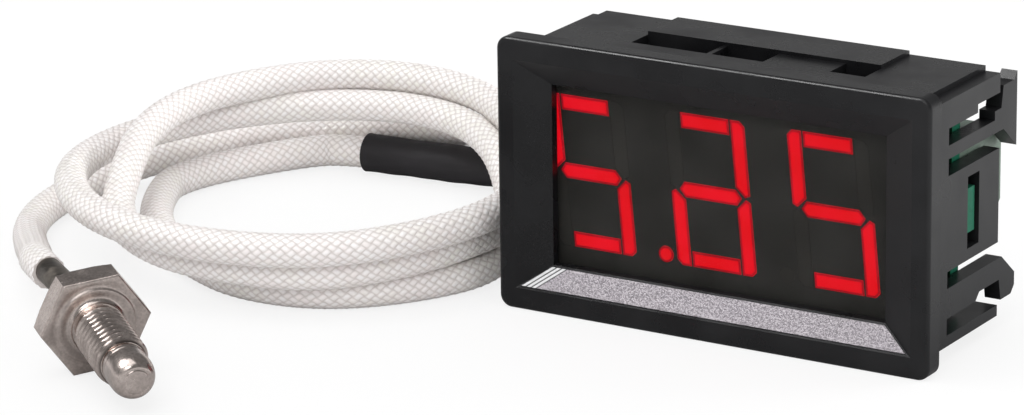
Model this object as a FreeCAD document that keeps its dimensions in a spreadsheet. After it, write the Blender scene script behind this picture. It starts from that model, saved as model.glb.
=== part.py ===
import FreeCAD, Part
import math
import os
import re
import Sketcher

# Digital panel thermometer with a screw-in probe on a braided lead, in millimetres.
# X runs to the right along the bezel, Y back through the panel and Z up.
# The origin is under the middle of the meter, on the surface that it stands on.

# Driving dimensions
SIZES = {
    # front bezel and the sloped frame round the display
    "bezel_width": 45.0, "bezel_height": 26.3, "bezel_thickness": 2.2,
    "bezel_corner": 1.2, "bezel_edge": 0.4,
    "ring_side": 1.8, "ring_top": 2.1,
    "opening_width": 34.8, "opening_height": 17.5,
    "slope_depth": 1.5, "opening_land": 0.9, "cut_past": 1.0,
    # case behind the bezel, which goes through the panel
    "case_inset": 1.05, "case_wall": 1.6, "case_depth": 15.9,
    "corner_step_width": 1.5, "corner_step_depth": 0.5,
    "rail_height": 1.55, "slot_height": 1.6, "slot_start": 5.7, "arm_height": 2.85,
    "notch_start": 12.2, "notch_end": 16.2, "notch_depth": 0.75,
    "hook_rear": 19.4, "hook_drop": 1.3, "hook_lean": 0.4, "hook_nose": 0.7,
    "hook_slope": 2.2, "hook_slope_run": 2.7,
    "side_window_height": 6.8, "side_window_play": 0.35,
    "top_pad_width": 24.4, "top_pad_start": 10.3, "top_pad_rise": 0.35,
    "vent_start": 7.2, "vent_long": 8.0, "vent_middle": 5.4, "vent_short": 3.6, "vent_bar": 0.5,
    # smoked filter, display module and label
    "filter_thickness": 0.5, "filter_margin": 1.7, "filter_gap": 0.05,
    "module_width": 37.9, "module_height": 19.0, "module_depth": 7.0, "module_shift": -0.85,
    "digit_height": 14.6, "digit_width": 8.3, "digit_pitch": 12.7, "digit_shift": -1.4, "digit_rise": 0.2,
    "digit_slant": 5.5, "stroke": 1.45, "stroke_gap": 0.2, "stroke_corner": 0.5, "stroke_split": 0.1,
    "bar_inset": 0.9, "point_diameter": 1.55, "point_offset": 5.35,
    "segment_depth": 1.0, "segment_play": 0.03,
    "label_thickness": 0.12, "label_margin": 0.25,
    # circuit board and the pins of the display
    "board_thickness": 1.6, "board_play": 0.25, "tab_height": 4.2, "tab_recess": 0.3,
    "pin_diameter": 0.5, "pin_pitch": 2.54, "pin_rows": 15.24, "pin_length": 3.0, "hole_play": 0.15,
    "solder_radius": 0.85, "solder_height": 0.8, "solder_rim": 0.12,
    # screw terminal block on the back of the board
    "block_bottom": 10.6, "block_height": 8.2, "block_depth": 8.45,
    "way_pitch": 5.0, "block_end": 0.2, "block_floor": 0.8, "block_bevel": 0.9,
    "cage_width": 3.4, "cage_height": 4.0, "cage_depth": 3.7, "cage_bar": 0.7, "cage_nut": 0.9,
    "cage_side": 0.6, "cage_play": 0.15, "cage_floor_gap": 0.1, "cage_offset": 0.5,
    "head_diameter": 3.5, "head_thickness": 1.4, "head_recess": 0.35, "head_play": 0.15,
    "head_seat": 0.05, "shank_diameter": 2.0, "shank_play": 0.08, "shank_end_gap": 0.15,
    "drive_width": 0.6, "drive_depth": 0.7, "shoulder": 0.8,
    "tongue_width": 1.9, "tongue_thickness": 0.5, "tongue_lift": 1.45,
    "leg_width": 0.9, "leg_play": 0.03, "leg_end_gap": 0.1,
    "entry_width": 2.6, "entry_depth": 2.2, "entry_play": 0.1,
    # chips on the back of the board
    "chip_width": 7.5, "chip_length": 12.8, "chip_thickness": 2.3, "chip_lift": 0.15,
    "small_chip_width": 3.9, "small_chip_length": 4.9, "small_chip_thickness": 1.5,
    "chip_bevel": 0.25, "chip_offset": 9.1, "small_chip_inset": 6.6, "small_chip_drop": 4.1,
    "lead_pitch": 1.27, "lead_width": 0.4, "lead_reach": 1.3, "lead_knee": 0.45, "lead_foot": 0.7,
    "lead_thickness": 0.22,
    "regulator_length": 4.5, "regulator_width": 2.5, "regulator_thickness": 1.5,
    "regulator_inset": 12.6, "regulator_rise": 0.9, "can_inset": 3.4, "can_rise": 0.2,
    "can_diameter": 4.0, "can_height": 5.0, "can_base": 4.3, "can_base_thickness": 0.5,
    "diode_length": 4.3, "diode_width": 2.6, "diode_thickness": 2.1, "diode_offset": 2.4, "diode_edge": 0.3,
    "chip_part_length": 2.0, "chip_part_width": 1.25, "resistor_thickness": 0.6, "ceramic_thickness": 0.8,
    "resistor_edge": 0.9, "resistor_rise": 2.6, "chip_part_pitch": 3.2, "ceramic_rise": 0.5,
    # braided lead, its sleeve and the two inner leads
    "cord_diameter": 3.0, "coil_half_width": 21.0, "coil_half_length": 22.8, "coil_turn": 31.8,
    "coil_beside": 25.8, "coil_y": 0.0, "coil_ring": 6.0, "coil_back_height": 11.7, "coil_front_height": 8.6,
    "coil_round": 1.5,
    "sleeve_diameter": 4.0, "sleeve_beside": 33.9, "sleeve_y": 20.3, "sleeve_length": 25.0,
    "sleeve_turn": 6.5, "sleeve_play": 0.1,
    "lead_diameter": 1.4, "lead_spread": 0.85, "wire_diameter": 0.8, "wire_play": 0.04,
    "wire_grip": 4.2, "lead_entry": 0.5,
    # probe
    "probe_beside": 21.0, "probe_y": -44.8, "probe_turn": -37.7, "probe_dip": 6.4, "probe_roll": 5.8,
    "hex_flats": 9.0, "hex_thickness": 3.0, "hex_bevel": 0.55, "hex_bevel_depth": 0.3,
    "thread_diameter": 5.0, "thread_length": 8.3, "thread_relief": 0.45, "relief_length": 0.9,
    "sheath_diameter": 1.9, "sheath_wall": 0.35, "sheath_play": 0.05, "probe_play": 0.1,
    "nose_diameter": 4.2, "nose_length": 4.0, "nose_rim": 0.3, "nose_dome": 1.75,
    "nose_shoulder": 0.5, "nose_shoulder_diameter": 3.3, "nose_end_diameter": 1.85, "nose_wall": 2.0,
    "ferrule_wall": 0.3, "ferrule_play": 0.02, "ferrule_overlap": 2.0,
    "ferrule_neck": 4.0, "ferrule_length": 14.0, "ferrule_turn": 1.5,
    "bead_play": 0.1, "bead_wire": 0.4, "bead_spread": 0.3,
}

# Which strokes of each digit are lit, from left to right, and the digit whose point is lit
LIT_STROKES = ("afgcd", "abcdeg", "afgcd")
LIT_POINT = 1

doc = FreeCAD.newDocument("PanelThermometer")
sheet = doc.addObject("Spreadsheet::Sheet", "Sheet")
for row, (name, number) in enumerate(SIZES.items(), 1):
    sheet.set(f"A{row}", name)
    sheet.set(f"B{row}", str(number))
    sheet.setAlias(f"B{row}", name)
doc.recompute()


def link(expression):
    """Points each dimension's name in an expression at its cell of the sheet."""
    return re.sub(r"[a-z_]+", lambda word: "Sheet." + word[0] if word[0] in SIZES else word[0], expression)


def value(expression):
    """Gives the number that an expression of dimensions stands for."""
    return float(sheet.evalExpression(link(expression)))


def bind(thing, **expressions):
    """Binds properties of an object to expressions of dimensions."""
    for name, expression in expressions.items():
        thing.setExpression(name.replace("__", "."), link(expression))
    return thing


# Places that several pieces share, as expressions of the driving dimensions
WEB = "(slope_depth + opening_land)"
MODULE_FRONT = f"({WEB} + filter_thickness + filter_gap)"
BOARD_FRONT = f"({MODULE_FRONT} + module_depth)"
BOARD_REAR = f"({BOARD_FRONT} + board_thickness)"
REAR = f"({BOARD_REAR} + block_depth)"
MIDDLE = "(bezel_height / 2)"
CASE_HALF = "(bezel_width / 2 - case_inset)"
INNER_HALF = f"({CASE_HALF} - case_wall)"
CASE_TOP = "(bezel_height - case_inset)"
INNER_TOP = f"({CASE_TOP} - case_wall)"
INNER_BOTTOM = "(case_inset + case_wall)"
SIDE_PLANE = "XZ_Plane"
BEZEL_LEFT = "(-bezel_width / 2)"


# Sketches and features
def new_body(name):
    """Starts a body that stands at the meter's place behind the bezel's front plane."""
    body = doc.addObject("PartDesign::Body", name)
    bind(body, Placement__Base__y=f"-{REAR} / 2")
    return body


def sketch_on(body, role, offset="0"):
    """Adds a sketch on one of a body's own planes, moved along that plane's normal."""
    sketch = body.newObject("Sketcher::SketchObject", "Sketch")
    support = next(plane for plane in body.Origin.OriginFeatures if plane.Role == role)
    sketch.AttachmentSupport = [(support, "")]
    sketch.MapMode = "FlatFace"
    bind(sketch, AttachmentOffset__Base__z=offset)
    return sketch


def outline(sketch, corners):
    """Draws a closed outline whose corners are bound to expressions."""
    points = [FreeCAD.Vector(value(x), value(y), 0) for x, y in corners]
    lines = [sketch.addGeometry(Part.LineSegment(start, end), False)
             for start, end in zip(points, points[1:] + points[:1])]
    for line, following in zip(lines, lines[1:] + lines[:1]):
        sketch.addConstraint(Sketcher.Constraint("Coincident", line, 2, following, 1))
    for line, (x, y), point in zip(lines, corners, points):
        for kind, axis, expression, place in (("DistanceX", -2, x, point.x), ("DistanceY", -1, y, point.y)):
            if abs(place) < 1e-9:
                sketch.addConstraint(Sketcher.Constraint("PointOnObject", line, 1, axis))
                continue
            datum = sketch.addConstraint(Sketcher.Constraint(kind, -1, 1, line, 1, place))
            sketch.setExpression(f"Constraints[{datum}]", link(expression))


def rectangle(sketch, left, right, bottom, top):
    """Draws a rectangle from its four sides."""
    outline(sketch, [(left, bottom), (right, bottom), (right, top), (left, top)])


def extrude(body, kind, sketch, length, reverse=False):
    """Pads or pockets a sketch by a bound length."""
    feature = body.newObject("PartDesign::" + kind, kind)
    feature.Profile = sketch
    feature.Reversed = reverse
    bind(feature, Length=length)
    sketch.Visibility = False
    doc.recompute()
    return feature


def dress(body, kind, size, keep):
    """Fillets or chamfers the edges of a body that a test picks."""
    base = body.Tip
    names = [f"Edge{number}" for number, edge in enumerate(base.Shape.Edges, 1) if keep(edge)]
    feature = body.newObject("PartDesign::" + kind, kind)
    feature.Base = (base, names)
    bind(feature, **{"Radius" if kind == "Fillet" else "Size": size})
    doc.recompute()
    return feature


def box(name, x, y, z, length, width, height):
    """A block from its lowest corner and its sizes along X, Y and Z, at the meter's place."""
    block = doc.addObject("Part::Box", name)
    return bind(block, Length=length, Width=width, Height=height,
                Placement__Base__x=x, Placement__Base__y=f"{y} - {REAR} / 2", Placement__Base__z=z)


def cylinder_along_y(name, x, y, z, radius, length):
    """A round bar along Y from its front end, at the meter's place."""
    bar = doc.addObject("Part::Cylinder", name)
    bar.Placement.Rotation = FreeCAD.Rotation(FreeCAD.Vector(1, 0, 0), -90)
    return bind(bar, Radius=radius, Height=length,
                Placement__Base__x=x, Placement__Base__y=f"{y} - {REAR} / 2", Placement__Base__z=z)


def group(kind, name, pieces):
    """Joins objects into one fused or compound object."""
    joined = doc.addObject(kind, name)
    if kind == "Part::Compound":
        joined.Links = pieces
    else:
        joined.Shapes = pieces
    return joined


def cut(name, base, tool):
    """Cuts a tool out of a base."""
    result = doc.addObject("Part::Cut", name)
    result.Base = base
    result.Tool = tool
    return result


def feature_from(name, shape):
    """Keeps a shape made by formula, at the meter's place."""
    feature = doc.addObject("Part::Feature", name)
    feature.Shape = shape
    feature.Placement = FreeCAD.Placement(FreeCAD.Vector(0, -value(REAR) / 2, 0), FreeCAD.Rotation())
    return feature


parts = []


def finish(thing, name):
    """Names a finished sub-part after its file."""
    thing.Label = name
    parts.append(thing)
    return thing


# Front housing: bezel, sloped frame, case with flexible sides, hooks and vents, in one moulding
housing = new_body("front_housing_body")
face = sketch_on(housing, SIDE_PLANE)
rectangle(face, "-bezel_width / 2", "bezel_width / 2", "0", "bezel_height")
extrude(housing, "Pad", face, "bezel_thickness", reverse=True)


def runs_back(edge):
    """True for a straight edge along Y."""
    start, end = edge.Vertexes[0].Point, edge.Vertexes[-1].Point
    return abs(start.y - end.y) > 1e-6 and math.hypot(start.x - end.x, start.z - end.z) < 1e-6


dress(housing, "Fillet", "bezel_corner", runs_back)
dress(housing, "Fillet", "bezel_edge", lambda edge: edge.BoundBox.YMax < 1e-6)
case = sketch_on(housing, SIDE_PLANE, "-bezel_thickness")
rectangle(case, f"-{CASE_HALF}", CASE_HALF, "case_inset", CASE_TOP)
extrude(housing, "Pad", case, "case_depth - bezel_thickness", reverse=True)
hollow = sketch_on(housing, SIDE_PLANE, "-case_depth")
rectangle(hollow, f"-{INNER_HALF}", INNER_HALF, INNER_BOTTOM, INNER_TOP)
extrude(housing, "Pocket", hollow, f"case_depth - {WEB}", reverse=True)
opening = sketch_on(housing, SIDE_PLANE)
rectangle(opening, "-opening_width / 2", "opening_width / 2",
          f"{MIDDLE} - opening_height / 2", f"{MIDDLE} + opening_height / 2")
extrude(housing, "Pocket", opening, WEB)

# The sloped frame narrows from the flat ring to the display's opening
outer_rim = sketch_on(housing, SIDE_PLANE)
rectangle(outer_rim, "-bezel_width / 2 + ring_side", "bezel_width / 2 - ring_side",
          "ring_top", "bezel_height - ring_top")
inner_rim = sketch_on(housing, SIDE_PLANE, "-slope_depth")
rectangle(inner_rim, "-opening_width / 2", "opening_width / 2",
          f"{MIDDLE} - opening_height / 2", f"{MIDDLE} + opening_height / 2")
slope = housing.newObject("PartDesign::SubtractiveLoft", "Slope")
slope.Profile = outer_rim
slope.Sections = [inner_rim]
doc.recompute()

# Long steps along the four corners of the case
steps = sketch_on(housing, SIDE_PLANE, "-bezel_thickness")
for side in ("-1", "1"):
    near = f"{side} * ({CASE_HALF} - corner_step_width)"
    far = f"{side} * ({CASE_HALF} + cut_past)"
    left, right = (far, near) if side == "-1" else (near, far)
    rectangle(steps, left, right, f"{CASE_TOP} - corner_step_depth", f"{CASE_TOP} + cut_past")
    rectangle(steps, left, right, "case_inset - cut_past", "case_inset + corner_step_depth")
extrude(housing, "Pocket", steps, "case_depth")

# Four slots split each side into rails, two spring arms and a middle panel
ARM_LOW = "(case_inset + rail_height + slot_height)"
ARM_TOP = f"({ARM_LOW} + arm_height)"
PANEL_LOW = f"({ARM_TOP} + slot_height)"
slots = sketch_on(housing, "YZ_Plane", "bezel_width / 2")
for low, high in ((f"{ARM_LOW} - slot_height", ARM_LOW), (ARM_TOP, PANEL_LOW)):
    rectangle(slots, "slot_start", "case_depth + cut_past", low, high)
    rectangle(slots, "slot_start", "case_depth + cut_past", f"bezel_height - {high}", f"bezel_height - {low}")
extrude(housing, "Pocket", slots, "bezel_width")
notches = sketch_on(housing, "YZ_Plane", "bezel_width / 2")
THIN = f"({ARM_LOW} + notch_depth)"
OUTSIDE = f"({ARM_LOW} - slot_height / 2)"
NOTCH = [("notch_start - notch_depth", OUTSIDE), ("notch_end", OUTSIDE), ("notch_end", THIN),
         ("notch_start", THIN), ("notch_start - notch_depth", ARM_LOW)]
outline(notches, NOTCH)
outline(notches, [(y, f"bezel_height - {z}") for y, z in reversed(NOTCH)])
extrude(housing, "Pocket", notches, "bezel_width")

# Hooks at the ends of the spring arms catch behind the panel's clips
HOOK_TIP = f"({ARM_LOW} - hook_drop)"
HOOK = [("case_depth - cut_past", THIN), ("notch_end", THIN), ("notch_end + hook_lean", HOOK_TIP),
        ("hook_rear - hook_nose", HOOK_TIP), ("hook_rear", f"{HOOK_TIP} + hook_nose"),
        ("hook_rear", f"{ARM_TOP} - hook_slope"), ("hook_rear - hook_slope_run", ARM_TOP),
        ("case_depth - cut_past", ARM_TOP)]
for wall in (CASE_HALF, f"-{INNER_HALF}"):
    hooks = sketch_on(housing, "YZ_Plane", wall)
    outline(hooks, HOOK)
    outline(hooks, [(y, f"bezel_height - {z}") for y, z in reversed(HOOK)])
    extrude(housing, "Pad", hooks, "case_wall", reverse=True)

# Windows in the middle panels take the board's tabs
windows = sketch_on(housing, "YZ_Plane", "bezel_width / 2")
rectangle(windows, f"{BOARD_FRONT} - side_window_play", f"{BOARD_REAR} + side_window_play",
          f"{MIDDLE} - side_window_height / 2", f"{MIDDLE} + side_window_height / 2")
extrude(housing, "Pocket", windows, "bezel_width")

# Raised pad and vents in the top
top_pad = sketch_on(housing, "XY_Plane", CASE_TOP)
rectangle(top_pad, "-top_pad_width / 2", "top_pad_width / 2", "top_pad_start", "case_depth")
extrude(housing, "Pad", top_pad, "top_pad_rise")
vents = sketch_on(housing, "XY_Plane", CASE_TOP)
rectangle(vents, "-top_pad_width / 2", "-top_pad_width / 2 + vent_long", "vent_start", "top_pad_start")
rectangle(vents, "-top_pad_width / 2 + vent_long + vent_bar",
          "-top_pad_width / 2 + vent_long + vent_bar + vent_middle", "vent_start", "top_pad_start")
rectangle(vents, "top_pad_width / 2 - vent_short", "top_pad_width / 2", "vent_start", "top_pad_start")
extrude(housing, "Pocket", vents, "case_wall + cut_past")
finish(housing, "front_housing")

# Smoked filter behind the opening
window_pane = box("filter_block", "-opening_width / 2 - filter_margin", WEB,
                  f"{MIDDLE} - opening_height / 2 - filter_margin", "opening_width + 2 * filter_margin",
                  "filter_thickness", "opening_height + 2 * filter_margin")
finish(window_pane, "display_filter")

# Label on the lower slope of the frame
SLOPE_RISE = value(f"{MIDDLE} - opening_height / 2 - ring_top")
slope_line = FreeCAD.Vector(0, value("slope_depth"), SLOPE_RISE).normalize()
slope_normal = FreeCAD.Vector(0, -slope_line.z, slope_line.y)
slope_length = math.hypot(value("slope_depth"), SLOPE_RISE)


def on_slope(share, side):
    """A corner of the label, at a share of the way up the slope."""
    half = value("bezel_width / 2 - ring_side") * (1 - share) + value("opening_width / 2") * share
    foot = FreeCAD.Vector(side * (half - value("label_margin")), 0, value("ring_top"))
    return foot + slope_line * (slope_length * share)


label_low = value("label_margin") / slope_length
label_corners = [on_slope(label_low, -1), on_slope(label_low, 1),
                 on_slope(1 - label_low, 1), on_slope(1 - label_low, -1)]
label_face = Part.Face(Part.makePolygon(label_corners + label_corners[:1]))
finish(feature_from("label_plate", label_face.extrude(slope_normal * value("label_thickness"))), "trim_label")

# Strokes of the three digits, leaning by the slant
half_width = value("digit_width / 2")
half_height = value("digit_height / 2")
lean = math.tan(math.radians(value("digit_slant")))


def upright(side, level, grow):
    """Corners of an upright stroke: one corner off its outer end and a point at the digit's middle."""
    inner = half_width - value("stroke") - grow
    outer = half_width + grow
    tip = value("stroke_split") - grow
    end = half_height + grow
    corner = value("stroke_corner")
    bevel = value("stroke / 2 + stroke_gap")
    shape = [(inner, tip + bevel), (outer - corner, tip), (outer, tip + corner / 2),
             (outer, end - corner), (outer - corner, end), (inner, end)]
    return [FreeCAD.Vector(side * x, 0, level * z) for x, z in shape]


def level_bar(level, grow):
    """Corners of the top or bottom stroke, which stands between the uprights."""
    half = half_width - value("stroke + stroke_gap") + grow
    low, high = half_height - value("stroke") - grow, half_height + grow
    shape = [(-half, low), (half, low), (half, high), (-half, high)]
    return [FreeCAD.Vector(x, 0, level * z) for x, z in shape]


def middle_bar(grow):
    """Corners of the middle stroke, pointed at both ends."""
    tip, half = half_width - value("bar_inset") + grow, half_width - value("stroke")
    rise = value("stroke / 2") + grow
    shape = [(-tip, 0), (-half, -rise), (half, -rise), (tip, 0), (half, rise), (-half, rise)]
    return [FreeCAD.Vector(x, 0, z) for x, z in shape]


def stroke_corners(letter, grow):
    """Corners of a stroke by its letter, grown all round by a play."""
    if letter in "ad":
        return level_bar(1 if letter == "a" else -1, grow)
    if letter == "g":
        return middle_bar(grow)
    return upright(1 if letter in "bc" else -1, 1 if letter in "bf" else -1, grow)


def leaning(corner, digit):
    """Moves a corner of a digit to its place on the display, with the slant."""
    x = value(f"digit_shift + digit_pitch * {digit - 1}") + corner.x - corner.z * lean
    return FreeCAD.Vector(x, value(MODULE_FRONT), value(f"{MIDDLE} + digit_rise") + corner.z)


into_module = FreeCAD.Vector(0, value("segment_depth"), 0)


def stroke_solid(digit, letter, grow):
    """The light window of one stroke, or of the point beside a digit."""
    if letter == "point":
        foot = FreeCAD.Vector(-value("point_offset"), 0, -value("digit_height / 2 - point_diameter / 2"))
        centre = leaning(foot, digit)
        return Part.makeCylinder(value("point_diameter / 2") + grow, into_module.y, centre, into_module)
    corners = [leaning(corner, digit) for corner in stroke_corners(letter, grow)]
    return Part.Face(Part.makePolygon(corners + corners[:1])).extrude(into_module)


lit, unlit, pockets = [], [], []
for digit, strokes in enumerate(LIT_STROKES):
    for letter in [*"abcdefg", "point"]:
        glows = digit == LIT_POINT if letter == "point" else letter in strokes
        (lit if glows else unlit).append(stroke_solid(digit, letter, 0.0))
        pockets.append(stroke_solid(digit, letter, value("segment_play")))
finish(feature_from("lit_windows", Part.makeCompound(lit)), "lit_segments")
finish(feature_from("unlit_windows", Part.makeCompound(unlit)), "unlit_segments")
module_block = box("module_block", "module_shift - module_width / 2", MODULE_FRONT,
                   f"{MIDDLE} - module_height / 2", "module_width", "module_depth", "module_height")
segment_pockets = feature_from("segment_pockets", Part.makeCompound(pockets))
finish(cut("module_cut", module_block, segment_pockets), "display_module")

# Circuit board with side tabs, drilled for the display's and the terminals' pins
board_outline = new_body("board_outline")
board_sketch = sketch_on(board_outline, SIDE_PLANE, f"-{BOARD_FRONT}")
BOARD_HALF = f"({INNER_HALF} - board_play)"
TAB_HALF = f"({CASE_HALF} - tab_recess)"
BOARD_LOW = f"({INNER_BOTTOM} + board_play)"
BOARD_HIGH = f"({INNER_TOP} - board_play)"
TAB_LOW = f"({MIDDLE} - tab_height / 2)"
TAB_HIGH = f"({MIDDLE} + tab_height / 2)"
RIGHT_SIDE = [(BOARD_HALF, BOARD_LOW), (BOARD_HALF, TAB_LOW), (TAB_HALF, TAB_LOW),
              (TAB_HALF, TAB_HIGH), (BOARD_HALF, TAB_HIGH), (BOARD_HALF, BOARD_HIGH)]
outline(board_sketch, RIGHT_SIDE + [(f"-{x}", z) for x, z in reversed(RIGHT_SIDE)])
extrude(board_outline, "Pad", board_sketch, "board_thickness", reverse=True)

# Terminal ways, from left to right
WAYS = [f"({BOARD_HALF} - block_end - way_pitch * {3.5 - way})" for way in range(4)]
CAGE_OPEN = f"({BOARD_REAR} + block_floor + cage_floor_gap)"
CAGE_LOW = "(block_bottom + block_height / 2 - cage_height / 2 + cage_offset)"
TONGUE = f"({CAGE_OPEN} + cage_bar + tongue_lift)"
LEG = f"({CAGE_LOW} + cage_height + cage_play)"

pin_places = []
for level in (-1, 1):
    for place in range(6):
        pin_places.append((f"digit_shift + pin_pitch * {place - 2.5}", f"{MIDDLE} + pin_rows / 2 * {level}"))
pins = [cylinder_along_y("pin", x, BOARD_FRONT, z, "pin_diameter / 2", "pin_length") for x, z in pin_places]
finish(group("Part::Compound", "pin_group", pins), "display_pins")
LEG_MIDDLE = f"({LEG} + leg_width / 2)"
BEFORE_BOARD = f"{BOARD_FRONT} - cut_past"
THROUGH_BOARD = "board_thickness + 2 * cut_past"
holes = [cylinder_along_y("hole", x, BEFORE_BOARD, z, "pin_diameter / 2 + hole_play", THROUGH_BOARD)
         for x, z in pin_places]
holes += [cylinder_along_y("leg_hole", way, BEFORE_BOARD, LEG_MIDDLE, "leg_width / sqrt(2) + hole_play",
                           THROUGH_BOARD) for way in WAYS]
finish(cut("board_cut", board_outline, group("Part::Compound", "hole_group", holes)), "circuit_board")

# Solder fillets round the display's pins on the back of the board
solder = []
for x, z in pin_places:
    foot = FreeCAD.Vector(value(x), value(BOARD_REAR), value(z))
    fillet = Part.makeCone(value("solder_radius"), value("pin_diameter / 2 + solder_rim"),
                           value("solder_height"), foot, FreeCAD.Vector(0, 1, 0))
    solder.append(fillet.cut(Part.makeCylinder(value("pin_diameter / 2"), value("solder_height"), foot,
                                               FreeCAD.Vector(0, 1, 0))))
finish(feature_from("solder_group", Part.makeCompound(solder)), "solder_joints")

# Terminal block: a moulding with a cage pocket, a wire entry and a screw hole for each way
block = new_body("block_body")
block_sketch = sketch_on(block, "YZ_Plane", BOARD_HALF)
BLOCK_TOP = "(block_bottom + block_height)"
outline(block_sketch, [(BOARD_REAR, "block_bottom"), (f"{REAR} - block_bevel", "block_bottom"),
                       (REAR, "block_bottom + block_bevel"), (REAR, f"{BLOCK_TOP} - block_bevel"),
                       (f"{REAR} - block_bevel", BLOCK_TOP), (BOARD_REAR, BLOCK_TOP)])
extrude(block, "Pad", block_sketch, "4 * way_pitch + 2 * block_end", reverse=True)
SHOULDER = f"({REAR} - head_recess - head_thickness - shoulder)"
cages_room = sketch_on(block, "XY_Plane", f"{CAGE_LOW} - cage_play")
entries = sketch_on(block, "XY_Plane", "block_bottom")
for way in WAYS:
    rectangle(cages_room, f"{way} - cage_width / 2 - cage_play", f"{way} + cage_width / 2 + cage_play",
              f"{BOARD_REAR} + block_floor", SHOULDER)
    rectangle(entries, f"{way} - entry_width / 2", f"{way} + entry_width / 2",
              f"{TONGUE} - entry_depth", f"{TONGUE} - wire_diameter / 2 + lead_diameter / 2 + entry_play")
extrude(block, "Pocket", cages_room, "cage_height + 2 * cage_play + leg_width", reverse=True)
extrude(block, "Pocket", entries, f"{CAGE_LOW} - block_bottom", reverse=True)
AXIS = f"({CAGE_LOW} + cage_height / 2)"


def drill(diameter, start, length):
    """Drills one round hole for each terminal screw from the back."""
    sketch = sketch_on(block, SIDE_PLANE, f"-{start}")
    for way in WAYS:
        centre = FreeCAD.Vector(value(way), value(AXIS), 0)
        ring = sketch.addGeometry(Part.Circle(centre, FreeCAD.Vector(0, 0, 1), value(diameter) / 2), False)
        across = sketch.addConstraint(Sketcher.Constraint("DistanceX", -1, 1, ring, 3, centre.x))
        up = sketch.addConstraint(Sketcher.Constraint("DistanceY", -1, 1, ring, 3, centre.y))
        size = sketch.addConstraint(Sketcher.Constraint("Diameter", ring, value(diameter)))
        for datum, expression in ((across, way), (up, AXIS), (size, diameter)):
            sketch.setExpression(f"Constraints[{datum}]", link(expression))
    extrude(block, "Pocket", sketch, length, reverse=True)


drill("head_diameter + 2 * head_play", REAR, "head_recess + head_thickness")
drill("shank_diameter + 2 * shank_play", f"({SHOULDER} + shoulder)", "shoulder")
leg_slots = sketch_on(block, SIDE_PLANE, f"-{BOARD_REAR}")
for way in WAYS:
    rectangle(leg_slots, f"{way} - leg_width / 2 - leg_play", f"{way} + leg_width / 2 + leg_play",
              f"{LEG} - leg_play", f"{LEG} + leg_width + leg_play")
extrude(block, "Pocket", leg_slots, "block_floor + cage_floor_gap")
finish(block, "terminal_block")

# Contacts: a tongue through each cage and a leg down through the board
contacts = []
for way in WAYS:
    tongue = box("tongue", f"{way} - tongue_width / 2", TONGUE, f"{CAGE_LOW} + cage_side / 2",
                 "tongue_width", "tongue_thickness", "cage_height - cage_side / 2 + cage_play + leg_width")
    leg = box("leg", f"{way} - leg_width / 2", f"{BOARD_FRONT} + leg_end_gap", LEG,
              "leg_width", f"{TONGUE} - {BOARD_FRONT} - leg_end_gap", "leg_width")
    contacts.append(group("Part::MultiFuse", "contact", [tongue, leg]))
finish(group("Part::Compound", "contact_group", contacts), "terminal_contacts")

# Wire cages and their screws: the two left cages grip the probe's wires, the others stand open
GRIP = f"({TONGUE} - wire_diameter - wire_play - cage_bar - {CAGE_OPEN})"
HEAD = f"({SHOULDER} + shoulder + head_seat)"
SHANK_END = f"({TONGUE} + tongue_thickness + shank_end_gap)"
for number, way in enumerate(WAYS, 1):
    lift = GRIP if number <= 2 else "0"
    bottom = f"({CAGE_OPEN} + {lift})"
    cage_block = box("cage_block", f"{way} - cage_width / 2", bottom, CAGE_LOW,
                     "cage_width", "cage_depth", "cage_height")
    cage_hole = box("cage_hole", f"{way} - cage_width / 2 + cage_side", f"{bottom} + cage_bar",
                    f"{CAGE_LOW} - cut_past", "cage_width - 2 * cage_side",
                    "cage_depth - cage_bar - cage_nut", "cage_height + 2 * cut_past")
    nut_hole = cylinder_along_y("nut_hole", way, f"{bottom} + cage_bar", AXIS,
                                "shank_diameter / 2 + shank_play", "cage_depth")
    cage_room = group("Part::MultiFuse", "cage_room", [cage_hole, nut_hole])
    finish(cut("cage", cage_block, cage_room), f"wire_clamp_{number}")
    head = cylinder_along_y("head", way, HEAD, AXIS, "head_diameter / 2", "head_thickness - head_seat")
    shank = cylinder_along_y("shank", way, SHANK_END, AXIS, "shank_diameter / 2",
                             f"{HEAD} - {SHANK_END} + head_thickness / 2")
    drive = box("drive", f"{way} - head_diameter", f"{REAR} - head_recess - drive_depth",
                f"{AXIS} - drive_width / 2", "2 * head_diameter", "drive_depth + cut_past", "drive_width")
    turned_screw = group("Part::MultiFuse", "screw_turned", [head, shank])
    finish(cut("screw", turned_screw, drive), f"terminal_screw_{number}")

# Chips and their bent leads on the back of the board
CHIP_X, CHIP_Z = "(digit_shift - chip_offset)", MIDDLE
SMALL_X, SMALL_Z = f"({BOARD_HALF} - small_chip_inset)", "(block_bottom - small_chip_drop)"
chip = box("chip_box", f"{CHIP_X} - chip_width / 2", f"{BOARD_REAR} + chip_lift",
           f"{CHIP_Z} - chip_length / 2", "chip_width", "chip_thickness", "chip_length")
chip_edge = doc.addObject("Part::Chamfer", "chip_edge")
chip_edge.Base = chip
doc.recompute()
bevel = value("chip_bevel")
chip_edge.Edges = [(number, bevel, bevel) for number, edge in enumerate(chip.Shape.Edges, 1)
                   if edge.CenterOfMass.y > chip.Shape.BoundBox.YMax - 1e-6]
finish(chip_edge, "microcontroller")
small_chip = box("small_chip", f"{SMALL_X} - small_chip_length / 2", f"{BOARD_REAR} + chip_lift",
                 f"{SMALL_Z} - small_chip_width / 2", "small_chip_length", "small_chip_thickness",
                 "small_chip_width")
finish(small_chip, "input_amplifier")


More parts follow.
